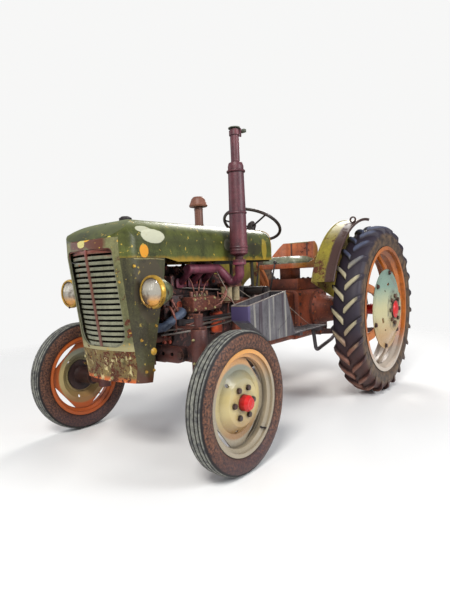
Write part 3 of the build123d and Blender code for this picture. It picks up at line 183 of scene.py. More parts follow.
floor_mesh = bpy.data.meshes.new("floor")
bm = bmesh.new()
bmesh.ops.create_circle(bm, cap_ends=True, segments=96, radius=30)
bm.to_mesh(floor_mesh)
bm.free()
floor = bpy.data.objects.new("floor", floor_mesh)
scene.collection.objects.link(floor)
paper = bpy.data.materials.new("paper")
paper.use_nodes = True
g = Graph(paper.node_tree)
spot = g.add("ShaderNodeTexCoord").outputs["Object"]
reach = g.add("ShaderNodeVectorMath", {"operation": "LENGTH"}, i0=spot).outputs["Value"]
fade = g.step(reach, 2.2, 5.0)
matt = g.add("ShaderNodeBsdfDiffuse", Color=(0.86, 0.86, 0.855, 1))
clear = g.add("ShaderNodeBsdfTransparent")
g.add("ShaderNodeOutputMaterial", Surface=g.add("ShaderNodeMixShader", i0=fade, i1=matt.outputs[0],
    i2=clear.outputs[0]).outputs[0])
floor_mesh.materials.append(paper)

# ---- finishes


def finish(name, **fixed):
    """A new material with its graph and its main shader; fixed values go on the shader's own sockets."""
    material = bpy.data.materials.new(name)
    material.use_nodes = True
    graph = Graph(material.node_tree)
    shader = graph.add("ShaderNodeBsdfPrincipled", None, **fixed)
    graph.add("ShaderNodeOutputMaterial", Surface=shader.outputs[0])
    return material, graph, shader


def placed(graph, seed, stretch=(1, 1, 1)):
    """Object coordinates, moved aside by the seed so that two finishes never share one pattern."""
    at = graph.where()
    return graph.add("ShaderNodeMapping", Vector=at, Location=(seed * 1.7, seed * 2.3, seed * 0.9),
        Scale=stretch).outputs[0]


def rgb(parts, by=1.0):
    """A tone with its alpha, made lighter or darker."""
    return tuple(min(1, c * by) for c in parts) + (1,)


def ink(red, green, blue):
    """A tone named by its screen values, as the shaders want it."""
    return tuple((c / 255 / 12.92) if c <= 10 else ((c / 255 + 0.055) / 1.055) ** 2.4 for c in (red, green, blue))


def tone(red, green, blue):
    return rgb(ink(red, green, blue))


def worn(name, coat, shade, bare, seed, *, scale=1.0, loss=0.5, rough=0.45, metal=0.0, streak=0.35, speck=None,
         dirt_and_shade=0.85, relief=0.25, edge=0.0, extra=None, over=None, gloss=0.5, dirt_and_shade_reach=0.05):
    """Old paint or metal: two tones of coat, runs, bare patches, specks, edges worn to the bare tone that also stand in
    for painted highlights, and corners darkened partly by soiling, partly as painted shade.

    extra(g, colour, small) marks the coat before it wears, over(g, colour, small) marks the worn surface.
    """
    material, g, shader = finish(name, Metallic=metal, Specular_IOR_Level=gloss)
    at = placed(g, seed)
    broad = g.noise(at, 3.5 * scale, 6, 0.62, 0.3)
    small = g.noise(at, 21 * scale, 8, 0.68, 0.2)
    fine = g.noise(at, 130 * scale, 4, 0.6)
    runs = g.noise(placed(g, seed + 3, (9, 9, 0.7)), 2.6 * scale, 6, 0.6)
    colour = g.mix(g.step(g.sum(broad, g.times(small, 0.5)), 0.58, 0.92), rgb(coat), rgb(shade))
    colour = g.mix(g.times(g.step(runs, 0.50, 0.68), streak), colour, rgb(shade, 0.4))
    colour = g.mix(g.step(fine, 0.45, 0.75, 0.0, 0.30), colour, rgb([c + 0.01 for c in coat], 1.5))
    colour = g.mix(g.step(small, 0.52, 0.34, 0.0, 0.55), colour, rgb(shade, 0.45))
    if extra:
        colour = extra(g, colour, small)
    level = 0.70 - 0.22 * loss
    bare_and_edge_highlight = g.step(g.sum(g.times(broad, 0.45), g.times(small, 0.55)), level, level + 0.035)
    if edge:
        # edge wear and painted highlight: convex edges go to the lighter bare tone
        ridge = g.add("ShaderNodeAmbientOcclusion", {"samples": 4, "inside": True, "only_local": True}, Distance=0.008)
        edge_wear_and_highlight = g.step(g.sum(ridge.outputs["AO"], g.times(small, 0.6)), 1.06, 0.86)
        bare_and_edge_highlight = g.most(bare_and_edge_highlight, g.times(edge_wear_and_highlight, edge))
    rust = g.mix(g.step(fine, 0.38, 0.62), rgb(bare), rgb(bare, 0.40))
    colour = g.mix(bare_and_edge_highlight, colour, rust)
    if speck:
        dots = g.noise(placed(g, seed + 5), 46 * scale, 3, 0.5)
        colour = g.mix(g.step(dots, 0.66, 0.70), colour, rgb(speck))
    if over:
        colour = over(g, colour, small)
    # dirt and painted shade: ambient occlusion darkens corners, creases and the undersides of parts towards a dark tone
    corner = g.add("ShaderNodeAmbientOcclusion", {"samples": 6}, Distance=dirt_and_shade_reach).outputs["AO"]
    grime_and_shade = g.times(g.step(g.sum(corner, g.times(small, 0.35)), 1.08, 0.50), dirt_and_shade)
    colour = g.mix(grime_and_shade, colour, rgb(GRIME_AND_SHADE, 0.5))
    tree = material.node_tree
    tree.links.new(colour, shader.inputs["Base Color"])
    tree.links.new(g.step(g.sum(bare_and_edge_highlight, g.times(grime_and_shade, 0.7), g.times(fine, 0.25)), 0.0, 1.3, rough, 0.92),
        shader.inputs["Roughness"])
    height = g.sum(g.times(bare_and_edge_highlight, -0.35), g.times(small, 0.5), g.times(fine, 0.25))
    bump = g.add("ShaderNodeBump", None, Strength=relief, Distance=0.004, Height=height)
    tree.links.new(bump.outputs[0], shader.inputs["Normal"])
    return material


RUST = ink(150, 82, 38)
DEEP_RUST = ink(104, 52, 30)
PALE = ink(196, 196, 172)
# dark tone for dirt and painted shade in corners
GRIME_AND_SHADE = ink(34, 24, 24)
BLACK = ink(20, 16, 18)
RUBBER = (ink(58, 50, 54), ink(40, 34, 38), ink(112, 78, 56))


def hood_marks(g, colour, small):
    """Faded band at the lower edge, a painted highlight along the crown, painted shade on the side below the shoulder,
    a pale patch, an orange one, and small scars on the left side.
    """
    height = g.height()
    colour = g.mix(g.step(g.sum(height, g.times(small, 0.05)), 1.098, 1.075, 0, 0.75), colour, tone(166, 130, 36))
    # painted highlight: the crown is made lighter towards the top
    colour = g.mix(g.times(g.step(height, 1.20, 1.262), 0.5), colour, tone(136, 144, 84))
    # painted shade: a darker band on the side below the shoulder
    dark = g.step(g.sum(height, g.times(small, 0.10)), 1.245, 1.205)
    colour = g.mix(g.times(dark, g.step(height, 1.10, 1.14), 0.5), colour, tone(52, 54, 26))
    for centre, spans, patch, amount in (
        ((0.25, -1.263, 1.168), (0.09, 0.080, 0.036), PALE, 0.9),
        ((0.23, -1.318, 1.200), (0.06, 0.050, 0.016), PALE, 0.8),
        ((0.25, -1.331, 1.094), (0.05, 0.029, 0.032), ink(222, 150, 40), 0.95),
        ((0.25, -0.650, 1.140), (0.05, 0.036, 0.036), ink(150, 148, 128), 0.8),
        ((0.25, -0.365, 1.120), (0.05, 0.085, 0.040), ink(46, 40, 34), 0.6),
        ((0.25, -0.245, 1.120), (0.05, 0.030, 0.070), ink(190, 158, 54), 0.5),
        ((0.168, -1.473, 1.154), (0.013, 0.013, 0.013), ink(210, 200, 90), 1.0),
        ((0.168, -1.473, 1.154), (0.006, 0.010, 0.006), ink(50, 50, 30), 1.0),
    ):
        colour = g.mix(g.times(g.blob(centre, spans, small, 0.3), amount), colour, rgb(patch))
    return colour


def nose_marks(g, colour, small):
    """Rust and lost paint at the top of the surround, and a pale lower frame."""
    height = g.height()
    across = g.off((0, 0, 0), (1, 0, 0))
    top = g.times(g.step(g.sum(height, g.times(small, 0.10)), 1.150, 1.172), g.step(across, 0.150, 0.125))
    colour = g.mix(g.times(top, 0.9), colour, tone(92, 38, 28))
    colour = g.mix(g.blob((0.0, -1.49, 1.172), (0.036, 0.05, 0.020), small, 0.8), colour, tone(224, 168, 44))
    colour = g.mix(g.blob((-0.035, -1.49, 1.142), (0.030, 0.05, 0.020), small, 0.9), colour, tone(206, 196, 120))
    return g.mix(g.times(g.step(height, 0.655, 0.620), 0.6), colour, tone(190, 178, 130))


def side_marks(g, colour, small):
    """Rust along the foot, an orange scab, and a bare patch behind the lamp."""
    height = g.height()
    colour = g.mix(g.step(g.sum(height, g.times(small, 0.12)), 0.60, 0.52, 0, 0.85), colour, tone(84, 40, 30))
    colour = g.mix(g.blob((0.25, -1.42, 0.505), (0.05, 0.03, 0.05), small, 0.9), colour, tone(216, 132, 36))
    return g.mix(g.blob((0.25, -1.30, 0.90), (0.05, 0.10, 0.16), small, 0.9), colour, tone(70, 62, 44))


def apron_marks(g, colour, small):
    """Orange lip and pale flakes."""
    height = g.height()
    lip = g.step(g.sum(height, g.times(small, 0.03)), 0.482, 0.462)
    colour = g.mix(lip, colour, tone(206, 100, 40))
    flakes = g.step(g.noise(placed(g, 44, (1, 1, 0.45)), 30, 3, 0.5), 0.57, 0.61)
    return g.mix(g.times(flakes, 0.8), colour, tone(222, 206, 150))


def slat_marks(g, colour, small):
    """Rusty centre rib and top slats."""
    rib = g.step(g.sum(g.off((0, 0, 0), (1, 0, 0)), g.times(small, 0.006)), 0.0155, 0.0135)
    colour = g.mix(g.times(rib, 0.9), colour, tone(110, 58, 42))
    high = g.times(g.step(g.sum(g.height(), g.times(small, 0.06)), 1.10, 1.125), 0.85)
    return g.mix(high, colour, tone(120, 48, 36))


def lamp_marks(g, colour, small):
    """Gilt rim in front, grey-green shell behind."""
    depth = g.axis(g.where(), "Y")
    shell = g.mix(g.step(small, 0.4, 0.6), tone(120, 126, 92), tone(66, 72, 50))
    return g.mix(g.step(depth, -1.362, -1.355), colour, shell)


def bin_marks(g, colour, small):
    """Violet-blue front wall that is painted shade, zinc sides with dark runs."""
    runs = g.noise(placed(g, 61, (14, 14, 0.5)), 1.7, 4, 0.6)
    colour = g.mix(g.times(g.step(runs, 0.52, 0.60), 0.85), colour, tone(66, 54, 62))
    colour = g.mix(g.times(g.step(runs, 0.40, 0.34), 0.7), colour, tone(176, 172, 160))
    # painted shade: the front wall gets a darker violet-blue than the zinc sides
    front = g.step(g.sum(g.axis(g.where(), "Y"), g.times(small, 0.02)), -0.862, -0.872)
    return g.mix(front, colour, tone(80, 70, 108))


def fender_marks(g, colour, small):
    """Faded paint near the inner edge; painted shade in dark brown over the rest of the skin above the tyre."""
    across = g.sum(g.off((0, 0, 0), (1, 0, 0)), g.times(small, 0.03))
    # painted shade: the skin beyond the inner band is painted dark brown
    return g.mix(g.step(across, 0.548, 0.562), colour, tone(70, 46, 40))


def wheel_marks(height, top, low):
    """Rim tone by radius and height; the disc goes from grey-green through khaki to brown."""
    def marks(g, colour, small):
        level = g.height()
        radius = g.off((0, FRONT_AXLE_Y, FRONT_R), (0, 1, 1))
        colour = g.mix(g.step(level, 0.50, 0.40), tone(132, 134, 116), tone(190, 172, 118))
        colour = g.mix(g.step(level, 0.32, 0.20), colour, tone(150, 112, 70))
        rim = g.mix(g.step(level, height, height - 0.2), rgb(top), rgb(low))
        return g.mix(g.step(radius, 0.176, 0.186), colour, rim)
    return marks


def hub_marks(face, reach):
    """Red cap in the middle of a dark hub."""
    def marks(g, colour, small):
        radius = g.off(face, (0, 1, 1))
        return g.mix(g.step(radius, reach, reach + 0.004), tone(196, 26, 26), colour)
    return marks


def rear_disc_marks(g, colour, small):
    """Grey-green above, pale in the middle, brown below, with chips round the hub."""
    level = g.height()
    colour = g.mix(g.step(g.sum(level, g.times(small, 0.08)), 0.86, 0.70), tone(120, 142, 128), tone(178, 172, 134))
    colour = g.mix(g.step(g.sum(level, g.times(small, 0.1)), 0.66, 0.50), colour, tone(176, 142, 96))
    chips = g.times(g.step(g.off((0, REAR_AXLE_Y, REAR_R), (0, 1, 1)), 0.17, 0.12), g.step(small, 0.50, 0.56))
    return g.mix(chips, colour, tone(70, 52, 38))


def rear_rim_marks(g, colour, small):
    """Pale dust on the lower part."""
    level = g.height()
    return g.mix(g.step(g.sum(level, g.times(small, 0.1)), 0.50, 0.34), colour, tone(180, 166, 150))


def front_tyre_marks(g, colour, small):
    """Pale worn ribs with dark grooves, brown rusty walls, and a dark bead."""
    radius = g.off((0, FRONT_AXLE_Y, FRONT_R), (0, 1, 1))
    wall = g.mix(g.step(g.noise(placed(g, 71), 90, 6, 0.7), 0.42, 0.62), tone(44, 30, 30), tone(122, 80, 58))
    wall = g.mix(g.step(g.height(), 0.24, 0.06, 0, 0.6), wall, tone(64, 48, 56))
    tread = g.mix(g.step(g.noise(placed(g, 72), 40, 5, 0.6), 0.36, 0.64), tone(70, 70, 72), tone(138, 138, 128))
    groove = g.step(radius, 0.3425, 0.3395)
    tread = g.mix(groove, tread, rgb(BLACK))
    colour = g.mix(g.step(radius, 0.333, 0.328), tread, wall)
    return g.mix(g.step(radius, 0.268, 0.256), colour, tone(48, 32, 28))


def rear_tyre_marks(g, colour, small):
    """Violet-grey casing; bar tops pale at mid height, blue-grey above and rust-brown below."""
    radius = g.off((0, REAR_AXLE_Y, REAR_R), (0, 1, 1))
    level = g.sum(g.height(), g.times(small, 0.12))
    base = g.mix(g.step(level, 0.62, 0.34), tone(40, 32, 44), tone(70, 42, 38))
    bars = g.mix(g.step(level, 1.12, 0.98), tone(70, 76, 98), tone(176, 166, 134))
    bars = g.mix(g.step(level, 0.66, 0.46), bars, tone(126, 84, 68))
    worn_top = g.times(g.step(g.sum(radius, g.times(small, 0.018)), 0.628, 0.641), 0.9)
    wall = g.mix(g.step(g.noise(placed(g, 73), 26, 5, 0.6), 0.4, 0.62), tone(56, 44, 38), tone(104, 82, 60))
    colour = g.mix(g.step(radius, 0.585, 0.560), base, wall)
    return g.mix(worn_top, colour, bars)


def seat_marks(g, colour, small):
    """Dark panel lines and a gilt hip on the seat back."""
    across = g.axis(g.where(), "X")
    for edge in (-0.075, 0.075):
        line = g.step(g.off((edge, 0, 0), (1, 0, 0)), 0.010, 0.006)
        colour = g.mix(g.times(line, g.step(g.height(), 1.09, 1.10), 0.85), colour, tone(52, 34, 36))
    hip = g.times(g.step(across, 0.12, 0.18), g.step(g.height(), 0.97, 1.02))
    return g.mix(g.times(hip, 0.7), colour, tone(150, 116, 56))


def engine_marks(g, colour, small):
    """Pink blots that are painted highlights, browns and a few orange scabs, much darker low down."""
    blot = g.noise(placed(g, 81), 34, 5, 0.7)
    # painted highlights: pink blots scattered by a noise
    colour = g.mix(g.step(blot, 0.55, 0.62), colour, tone(186, 108, 92))
    colour = g.mix(g.step(blot, 0.40, 0.33), colour, tone(26, 18, 24))
    return g.mix(g.step(g.height(), 0.70, 0.60, 0, 0.6), colour, tone(40, 26, 28))


left_front = wheel_marks(0.62, ink(232, 158, 66), ink(152, 140, 118))
right_front = wheel_marks(0.30, ink(190, 92, 34), ink(176, 84, 36))
coats = {
    # name: (coat, shade, bare), settings
    "hood_paint": ((ink(96, 102, 46), ink(50, 54, 24), ink(150, 120, 44)), dict(
        loss=0.15, rough=0.26, relief=0.10, speck=ink(176, 150, 60), dirt_and_shade=0.85, streak=0.7, extra=hood_marks)),
    "side_paint": ((ink(86, 86, 50), ink(50, 44, 32), ink(140, 112, 46)), dict(
        loss=0.15, rough=0.34, relief=0.12, speck=ink(150, 130, 60), streak=0.85, extra=side_marks)),
    "nose_paint": ((ink(136, 134, 92), ink(84, 84, 50), DEEP_RUST), dict(
        loss=0.55, rough=0.38, relief=0.3, speck=ink(190, 150, 60), extra=nose_marks)),
    "apron_paint": ((ink(142, 120, 66), ink(84, 66, 36), DEEP_RUST), dict(
        loss=0.9, rough=0.55, relief=0.8, scale=2.6, speck=ink(196, 156, 66), dirt_and_shade=0.9, extra=apron_marks)),
    "slat_paint": ((ink(152, 152, 128), ink(106, 106, 84), RUST), dict(
        loss=0.35, rough=0.38, dirt_and_shade=1.0, dirt_and_shade_reach=0.03, over=slat_marks)),
    "lamp_metal": ((ink(206, 164, 56), ink(140, 100, 40), ink(96, 56, 26)), dict(
        loss=0.7, rough=0.26, metal=0.35, scale=2, extra=lamp_marks)),
    "dash_metal": ((ink(60, 56, 46), ink(40, 38, 34), RUST), dict(rough=0.5)),
    "radiator_metal": ((ink(30, 28, 28), ink(18, 17, 17), DEEP_RUST), dict(rough=0.7, loss=0.2)),
    "hose_rubber": ((ink(92, 106, 128), ink(48, 56, 76), ink(120, 112, 104)), dict(loss=0.1, rough=0.42, dirt_and_shade=0.7)),
    "dark_metal": ((ink(46, 36, 38), ink(26, 22, 24), DEEP_RUST), dict(loss=0.6, rough=0.4)),
    "pump_metal": ((ink(134, 76, 62), ink(62, 36, 34), ink(206, 146, 104)),
        dict(loss=0.7, rough=0.36, metal=0.2, scale=4, edge=0.6, dirt_and_shade=1.0, relief=0.6)),
    "engine_iron": ((ink(92, 46, 42), ink(46, 24, 26), ink(176, 92, 60)), dict(
        loss=0.45, rough=0.42, relief=0.9, scale=2.5, dirt_and_shade=1.0, dirt_and_shade_reach=0.16, edge=0.5, extra=engine_marks)),
    "manifold_iron": ((ink(134, 62, 80), ink(74, 32, 46), DEEP_RUST),
        dict(loss=0.35, rough=0.42, edge=0.3, streak=0.6)),
    "stack_metal": ((ink(116, 56, 62), ink(66, 32, 42), ink(150, 112, 104)),
        dict(loss=0.30, rough=0.42, streak=0.8, relief=0.35)),
    "flap_metal": ((ink(112, 118, 98), ink(60, 64, 54), DEEP_RUST), dict(loss=0.5, rough=0.5)),
    "cleaner_metal": ((ink(140, 92, 72), ink(84, 50, 42), ink(206, 168, 130)), dict(loss=0.5, rough=0.4)),
    "case_iron": ((ink(150, 70, 38), ink(80, 38, 28), ink(214, 122, 62)), dict(
        loss=0.6, rough=0.5, relief=0.8, scale=2.4, dirt_and_shade=1.0, dirt_and_shade_reach=0.18, edge=0.6)),
    "axle_iron": ((ink(104, 58, 50), ink(50, 30, 32), ink(190, 112, 76)), dict(
        loss=0.5, rough=0.4, scale=2.6, relief=0.6, dirt_and_shade=1.0, dirt_and_shade_reach=0.12, edge=0.5)),
    "column_metal": ((ink(62, 52, 46), ink(40, 34, 32), RUST), dict(rough=0.5)),
    "wheel_plastic": ((ink(62, 46, 38), ink(30, 24, 24), ink(120, 92, 70)), dict(loss=0.4, rough=0.3, relief=0.1)),
    "seat_metal": ((ink(204, 112, 62), ink(132, 58, 34), ink(82, 42, 30)),
        dict(loss=0.6, rough=0.38, scale=2, extra=seat_marks)),
    "seat_vinyl": ((ink(164, 168, 140), ink(112, 118, 96), ink(84, 70, 54)), dict(
        loss=0.2, rough=0.34, relief=0.15, streak=0.2)),
    "board_metal": ((ink(78, 70, 74), ink(44, 40, 42), DEEP_RUST), dict(loss=0.5, rough=0.45)),
    "bin_metal": ((ink(118, 116, 118), ink(84, 80, 86), ink(70, 62, 62)), dict(
        loss=0.2, rough=0.34, metal=0.25, streak=0.5, relief=0.15, dirt_and_shade=0.7, extra=bin_marks)),
    "wire_metal": ((ink(196, 184, 168), ink(120, 108, 100), RUST), dict(rough=0.4, metal=0.3)),
    "fender_paint": ((ink(168, 156, 48), ink(110, 92, 34), DEEP_RUST), dict(loss=0.7, rough=0.42, over=fender_marks)),
    "tyre": (RUBBER, dict(loss=0.3, rough=0.7, gloss=0.25)),
    "front_wheel_paint": ((ink(184, 150, 96), ink(150, 118, 70), RUST), dict(
        loss=0.15, rough=0.16, relief=0.06, gloss=0.8, extra=left_front)),
    "hub_paint": ((ink(80, 34, 30), ink(44, 24, 26), ink(150, 70, 54)), dict(loss=0.4, rough=0.3, scale=3)),
    "rim_paint": ((ink(206, 118, 44), ink(140, 76, 34), DEEP_RUST), dict(loss=0.35, rough=0.28, extra=rear_rim_marks)),
    "disc_paint": ((ink(176, 172, 140), ink(140, 146, 124), RUST),
        dict(loss=0.12, rough=0.22, relief=0.08, extra=rear_disc_marks)),
    # single nodes that differ from the rest of their slot, and the pieces added below
    "front_tyre": (RUBBER, dict(
        loss=0.1, rough=0.55, gloss=0.4, scale=2, dirt_and_shade=0.8, dirt_and_shade_reach=0.03, relief=0.5, extra=front_tyre_marks)),
    "rear_tyre": (RUBBER, dict(
        loss=0.1, rough=0.5, gloss=0.4, scale=2, dirt_and_shade=0.9, relief=0.5, dirt_and_shade_reach=0.03, extra=rear_tyre_marks)),
    "right_wheel": ((ink(184, 92, 40), ink(130, 62, 32), DEEP_RUST), dict(loss=0.4, rough=0.34, extra=right_front)),
    "front_hub": ((ink(70, 40, 34), ink(36, 22, 24), ink(150, 70, 54)), dict(
        loss=0.4, rough=0.24, scale=3, over=hub_marks((0.7, FRONT_AXLE_Y, FRONT_R), 0.046))),
    "right_hub": ((ink(62, 38, 34), ink(34, 22, 24), ink(120, 66, 50)), dict(loss=0.4, rough=0.45, scale=3)),
    "rear_hub": ((ink(118, 84, 62), ink(70, 46, 38), ink(150, 70, 54)), dict(
        loss=0.5, rough=0.3, scale=3, extra=hub_marks((0.8, REAR_AXLE_Y, REAR_R), 0.062))),
    "seam": ((ink(26, 22, 20), ink(18, 16, 14), ink(60, 44, 30)), dict(loss=0.2, rough=0.8, relief=0.05)),
    "bead": ((ink(186, 176, 124), ink(132, 122, 78), RUST), dict(loss=0.4, rough=0.35, scale=3)),
    "gilt": ((ink(214, 172, 60), ink(150, 108, 44), DEEP_RUST), dict(loss=0.6, rough=0.3, scale=4)),
    "bolt": ((ink(96, 66, 56), ink(54, 38, 36), ink(170, 110, 80)), dict(loss=0.6, rough=0.35, scale=4, metal=0.3)),
    "dark_bolt": ((ink(56, 26, 26), ink(30, 18, 20), ink(110, 60, 48)), dict(loss=0.4, rough=0.28, scale=4)),
    "pipe": ((ink(168, 104, 88), ink(104, 60, 54), ink(214, 170, 130)), dict(loss=0.5, rough=0.3, scale=5, metal=0.3)),
    "pale_pipe": ((ink(160, 150, 140), ink(104, 92, 88), RUST), dict(loss=0.3, rough=0.35, scale=4, metal=0.2)),
    "can": ((ink(206, 188, 148), ink(160, 142, 108), ink(120, 84, 56)), dict(loss=0.3, rough=0.35, scale=2)),
    "scab": ((ink(204, 84, 44), ink(140, 52, 34), ink(90, 40, 30)), dict(loss=0.6, rough=0.4, scale=3)),
    "dial": ((ink(214, 210, 196), ink(180, 176, 160), ink(120, 112, 96)), dict(loss=0.2, rough=0.3, dirt_and_shade=0.4)),
}
finishes = {name: worn(name, *tones, number, **rest) for number, (name, (tones, rest)) in enumerate(coats.items(), 1)}

lens, g, shader = finish("lamp_glass", Roughness=0.09, Metallic=0.35, Specular_IOR_Level=0.9)
level = g.height()
ribs = g.add("ShaderNodeTexWave", {"wave_type": "BANDS", "bands_direction": "X"}, Vector=g.where(), Scale=36.0,
    Distortion=0.4)
# painted reflection in the lens: pale above, orange below and darker at the very top
colour = g.mix(g.step(level, 0.885, 0.850), tone(196, 190, 176), tone(222, 156, 64))
colour = g.mix(g.step(g.noise(placed(g, 91), 14, 4, 0.6), 0.50, 0.66), colour, tone(112, 96, 84))
colour = g.mix(g.step(level, 0.955, 0.925), tone(120, 110, 100), colour)
lens.node_tree.links.new(colour, shader.inputs["Base Color"])
bump = g.add("ShaderNodeBump", None, Strength=0.35, Distance=0.003, Height=ribs.outputs["Fac"])
lens.node_tree.links.new(bump.outputs[0], shader.inputs["Normal"])
finishes["lamp_glass"] = lens

finish_of = dict(slot_of_node)
finish_of.update({
    "front_tyre_left": "front_tyre", "front_tyre_right": "front_tyre", "rear_tyre_left": "rear_tyre",
    "rear_tyre_right": "rear_tyre", "front_wheel_right": "right_wheel", "front_hub_left": "front_hub",
    "front_hub_right": "right_hub", "rear_hub_left": "rear_hub", "rear_hub_right": "rear_hub",
})

# ---- making pieces


def made(name, bm, node, look=None, spread=35):
    """A finished piece from a bmesh, on the body and slot of the CAD node it belongs with."""
    bmesh.ops.recalc_face_normals(bm, faces=bm.faces)
    mesh = bpy.data.meshes.new(name)
    bm.to_mesh(mesh)
    bm.free()
    mesh.polygons.foreach_set("use_smooth", [True] * len(mesh.polygons))
    mesh.set_sharp_from_angle(angle=math.radians(spread))
    mesh.materials.append(finishes[look or finish_of[node]])
    piece = bpy.data.objects.new(name, mesh)
    scene.collection.objects.link(piece)
    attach(piece, body_of_node[node])
    return piece


def bevel(bm, edges, offset, segments=1):
    bmesh.ops.bevel(bm, geom=edges, offset=offset, segments=segments, profile=0.5, affect="EDGES",
                    clamp_overlap=True, material=-1)


def eased(node, width, angle=33, segments=2):
    """A copy of a CAD node with its hard edges rounded over, which stands for it."""
    bm = bmesh.new()
    bm.from_mesh(nodes_of[node].data)
    bmesh.ops.remove_doubles(bm, verts=bm.verts, dist=2e-5)
    bmesh.ops.dissolve_limit(bm, angle_limit=math.radians(0.6), verts=bm.verts, edges=bm.edges)
    hard = [e for e in bm.edges if len(e.link_faces) == 2 and e.calc_face_angle(0) > math.radians(angle)]
    bevel(bm, hard, width, segments)
    bmesh.ops.triangulate(bm, faces=[f for f in bm.faces if len(f.verts) > 4])
    piece = made(node + "_eased", bm, node)
    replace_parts(piece, node)
    return piece


def facing(place, axis):
    """A matrix that stands a shape made on +Z along an axis at a place."""
    return Matrix.Translation(place) @ Vector(axis).to_track_quat("Z", "Y").to_matrix().to_4x4()


def add_bolt(bm, place, axis, across, tall=None):
    """A hexagon head with a washer, standing on a face."""
    tall = tall or across * 0.45
    stand = facing(place, axis)
    bmesh.ops.create_cone(bm, cap_ends=True, segments=16, radius1=across * 0.72, radius2=across * 0.68,
        depth=across * 0.12,
                          matrix=stand @ Matrix.Translation((0, 0, across * 0.05)))
    made_now = bmesh.ops.create_cone(bm, cap_ends=True, segments=6, radius1=across * 0.56, radius2=across * 0.56,
        depth=tall,
                                     matrix=stand @ Matrix.Translation((0, 0, tall / 2 + across * 0.08)))
    outer = [e for e in {e for v in made_now["verts"] for e in v.link_edges} if e.calc_face_angle(0) > 1.4]
    bevel(bm, outer, across * 0.06)


def one(place, axis, across):
    """A row of a single bolt."""
    return place, place, 1, axis, across


def bolts(name, node, rows, look="bolt"):
    """Rows of bolts: (first place, last place, how many, axis, size across the flats)."""
    bm = bmesh.new()
    for first, last, count, axis, across in rows:
        first, last = Vector(first), Vector(last)
        for step in range(count):
            add_bolt(bm, first.lerp(last, step / max(1, count - 1)), axis, across)
    return made(name, bm, node, look)


def ring_places(centre, radius, count, start=0.0):
    """Places round an axle that lies along X."""
    x, y, z = centre
    turns = [start + math.tau * step / count for step in range(count)]
    return [(x, y + radius * math.cos(t), z + radius * math.sin(t)) for t in turns]


def tubes(name, node, runs, look="pipe", curved=True, sides=10):
    """Bent tubes through points: (radius, [points])."""
    bm = bmesh.new()
    for thick, points in runs:
        curve = bpy.data.curves.new(name, "CURVE")
        curve.dimensions = "3D"
        curve.bevel_depth = thick
        curve.bevel_resolution = max(2, sides // 4)
        curve.resolution_u = 6
        curve.use_fill_caps = True
        spline = curve.splines.new("BEZIER")
        spline.bezier_points.add(len(points) - 1)
        for knot, place in zip(spline.bezier_points, points):
            knot.co = place
            knot.handle_left_type = knot.handle_right_type = "AUTO" if curved else "VECTOR"
        holder = bpy.data.objects.new(name, curve)
        scene.collection.objects.link(holder)
        bpy.context.view_layer.update()
        mesh = bpy.data.meshes.new_from_object(holder.evaluated_get(bpy.context.evaluated_depsgraph_get()))
        bm.from_mesh(mesh)
        bpy.data.objects.remove(holder)
        bpy.data.curves.remove(curve)
        bpy.data.meshes.remove(mesh)
    bmesh.ops.remove_doubles(bm, verts=bm.verts, dist=1e-6)
    return made(name, bm, node, look, 50)


def add_turned(bm, place, axis, outline, steps=24):
    """A turned shape: (radius, height) pairs spun about an axis, closed where the radius is nought."""
    stand = facing(place, axis)
    knots = [bm.verts.new(stand @ Vector((r, 0, h))) for r, h in outline]
    lines = [bm.edges.new(pair) for pair in zip(knots, knots[1:])]
    bmesh.ops.spin(bm, geom=knots + lines, cent=stand.translation, axis=stand.to_3x3().col[2], angle=math.tau,
        steps=steps,
                   use_merge=True, use_duplicate=False)


def turned(name, node, shapes, look=None, steps=24):
    """Turned pieces joined in one: (place, axis, outline)."""
    bm = bmesh.new()
    for place, axis, outline in shapes:
        add_turned(bm, place, axis, outline, steps)
    bmesh.ops.remove_doubles(bm, verts=bm.verts, dist=1e-6)
    return made(name, bm, node, look)


def mirrored(runs):
    """The same runs on both sides of the machine."""
    return runs + [(thick, [(-x, y, z) for x, y, z in points]) for thick, points in runs]


# ---- CAD pieces with rounded edges
for name, width in (
    ("grille", 0.0012), ("side_bin", 0.0008), ("engine_block", 0.006), ("cylinder_head", 0.005),
        ("front_axle_bracket", 0.005),
    ("front_axle_beam", 0.004), ("lift_cover", 0.005), ("transmission_case", 0.006), ("rear_axle_case", 0.006),
    ("footboards", 0.0015), ("exhaust_manifold", 0.002), ("front_axle_arms", 0.003), ("lift_arms", 0.002),
        ("radiator", 0.002),
    ("seat_pan", 0.001), ("rain_flap", 0.001), ("instrument_panel", 0.001), ("fuel_system", 0.002), ("pedals", 0.001),
):
    eased(name, width)
replaced = {"seat_cushion", "front_tyre_left", "front_tyre_right", "rear_tyre_left", "rear_tyre_right"}
for name, node in nodes_of.items():
    if name not in replaced:
        node.data.materials.clear()
        node.data.materials.append(finishes[finish_of[name]])

# ---- tyres
REAR_CASING = 0.616  # radius between the bars
FRONT_SEAT, REAR_SEAT = 0.2415, 0.4575  # radius of the rims' bead seats
BARS, BAR_DROP, BAR_SWEEP = 25, 0.060, 0.104  # bars a side, fall to the shoulder, trail round the tyre


def ring(bm, centre, outline, steps):
    """A closed tyre section, (x from the middle, radius), spun about the axle."""
    x, y, z = centre
    knots = [bm.verts.new((x + across, y, z + radius)) for across, radius in outline]
    lines = [bm.edges.new((a, b)) for a, b in zip(knots, knots[1:] + knots[:1])]
    bmesh.ops.spin(bm, geom=knots + lines, cent=centre, axis=(1, 0, 0), angle=math.tau, steps=steps, use_merge=True)


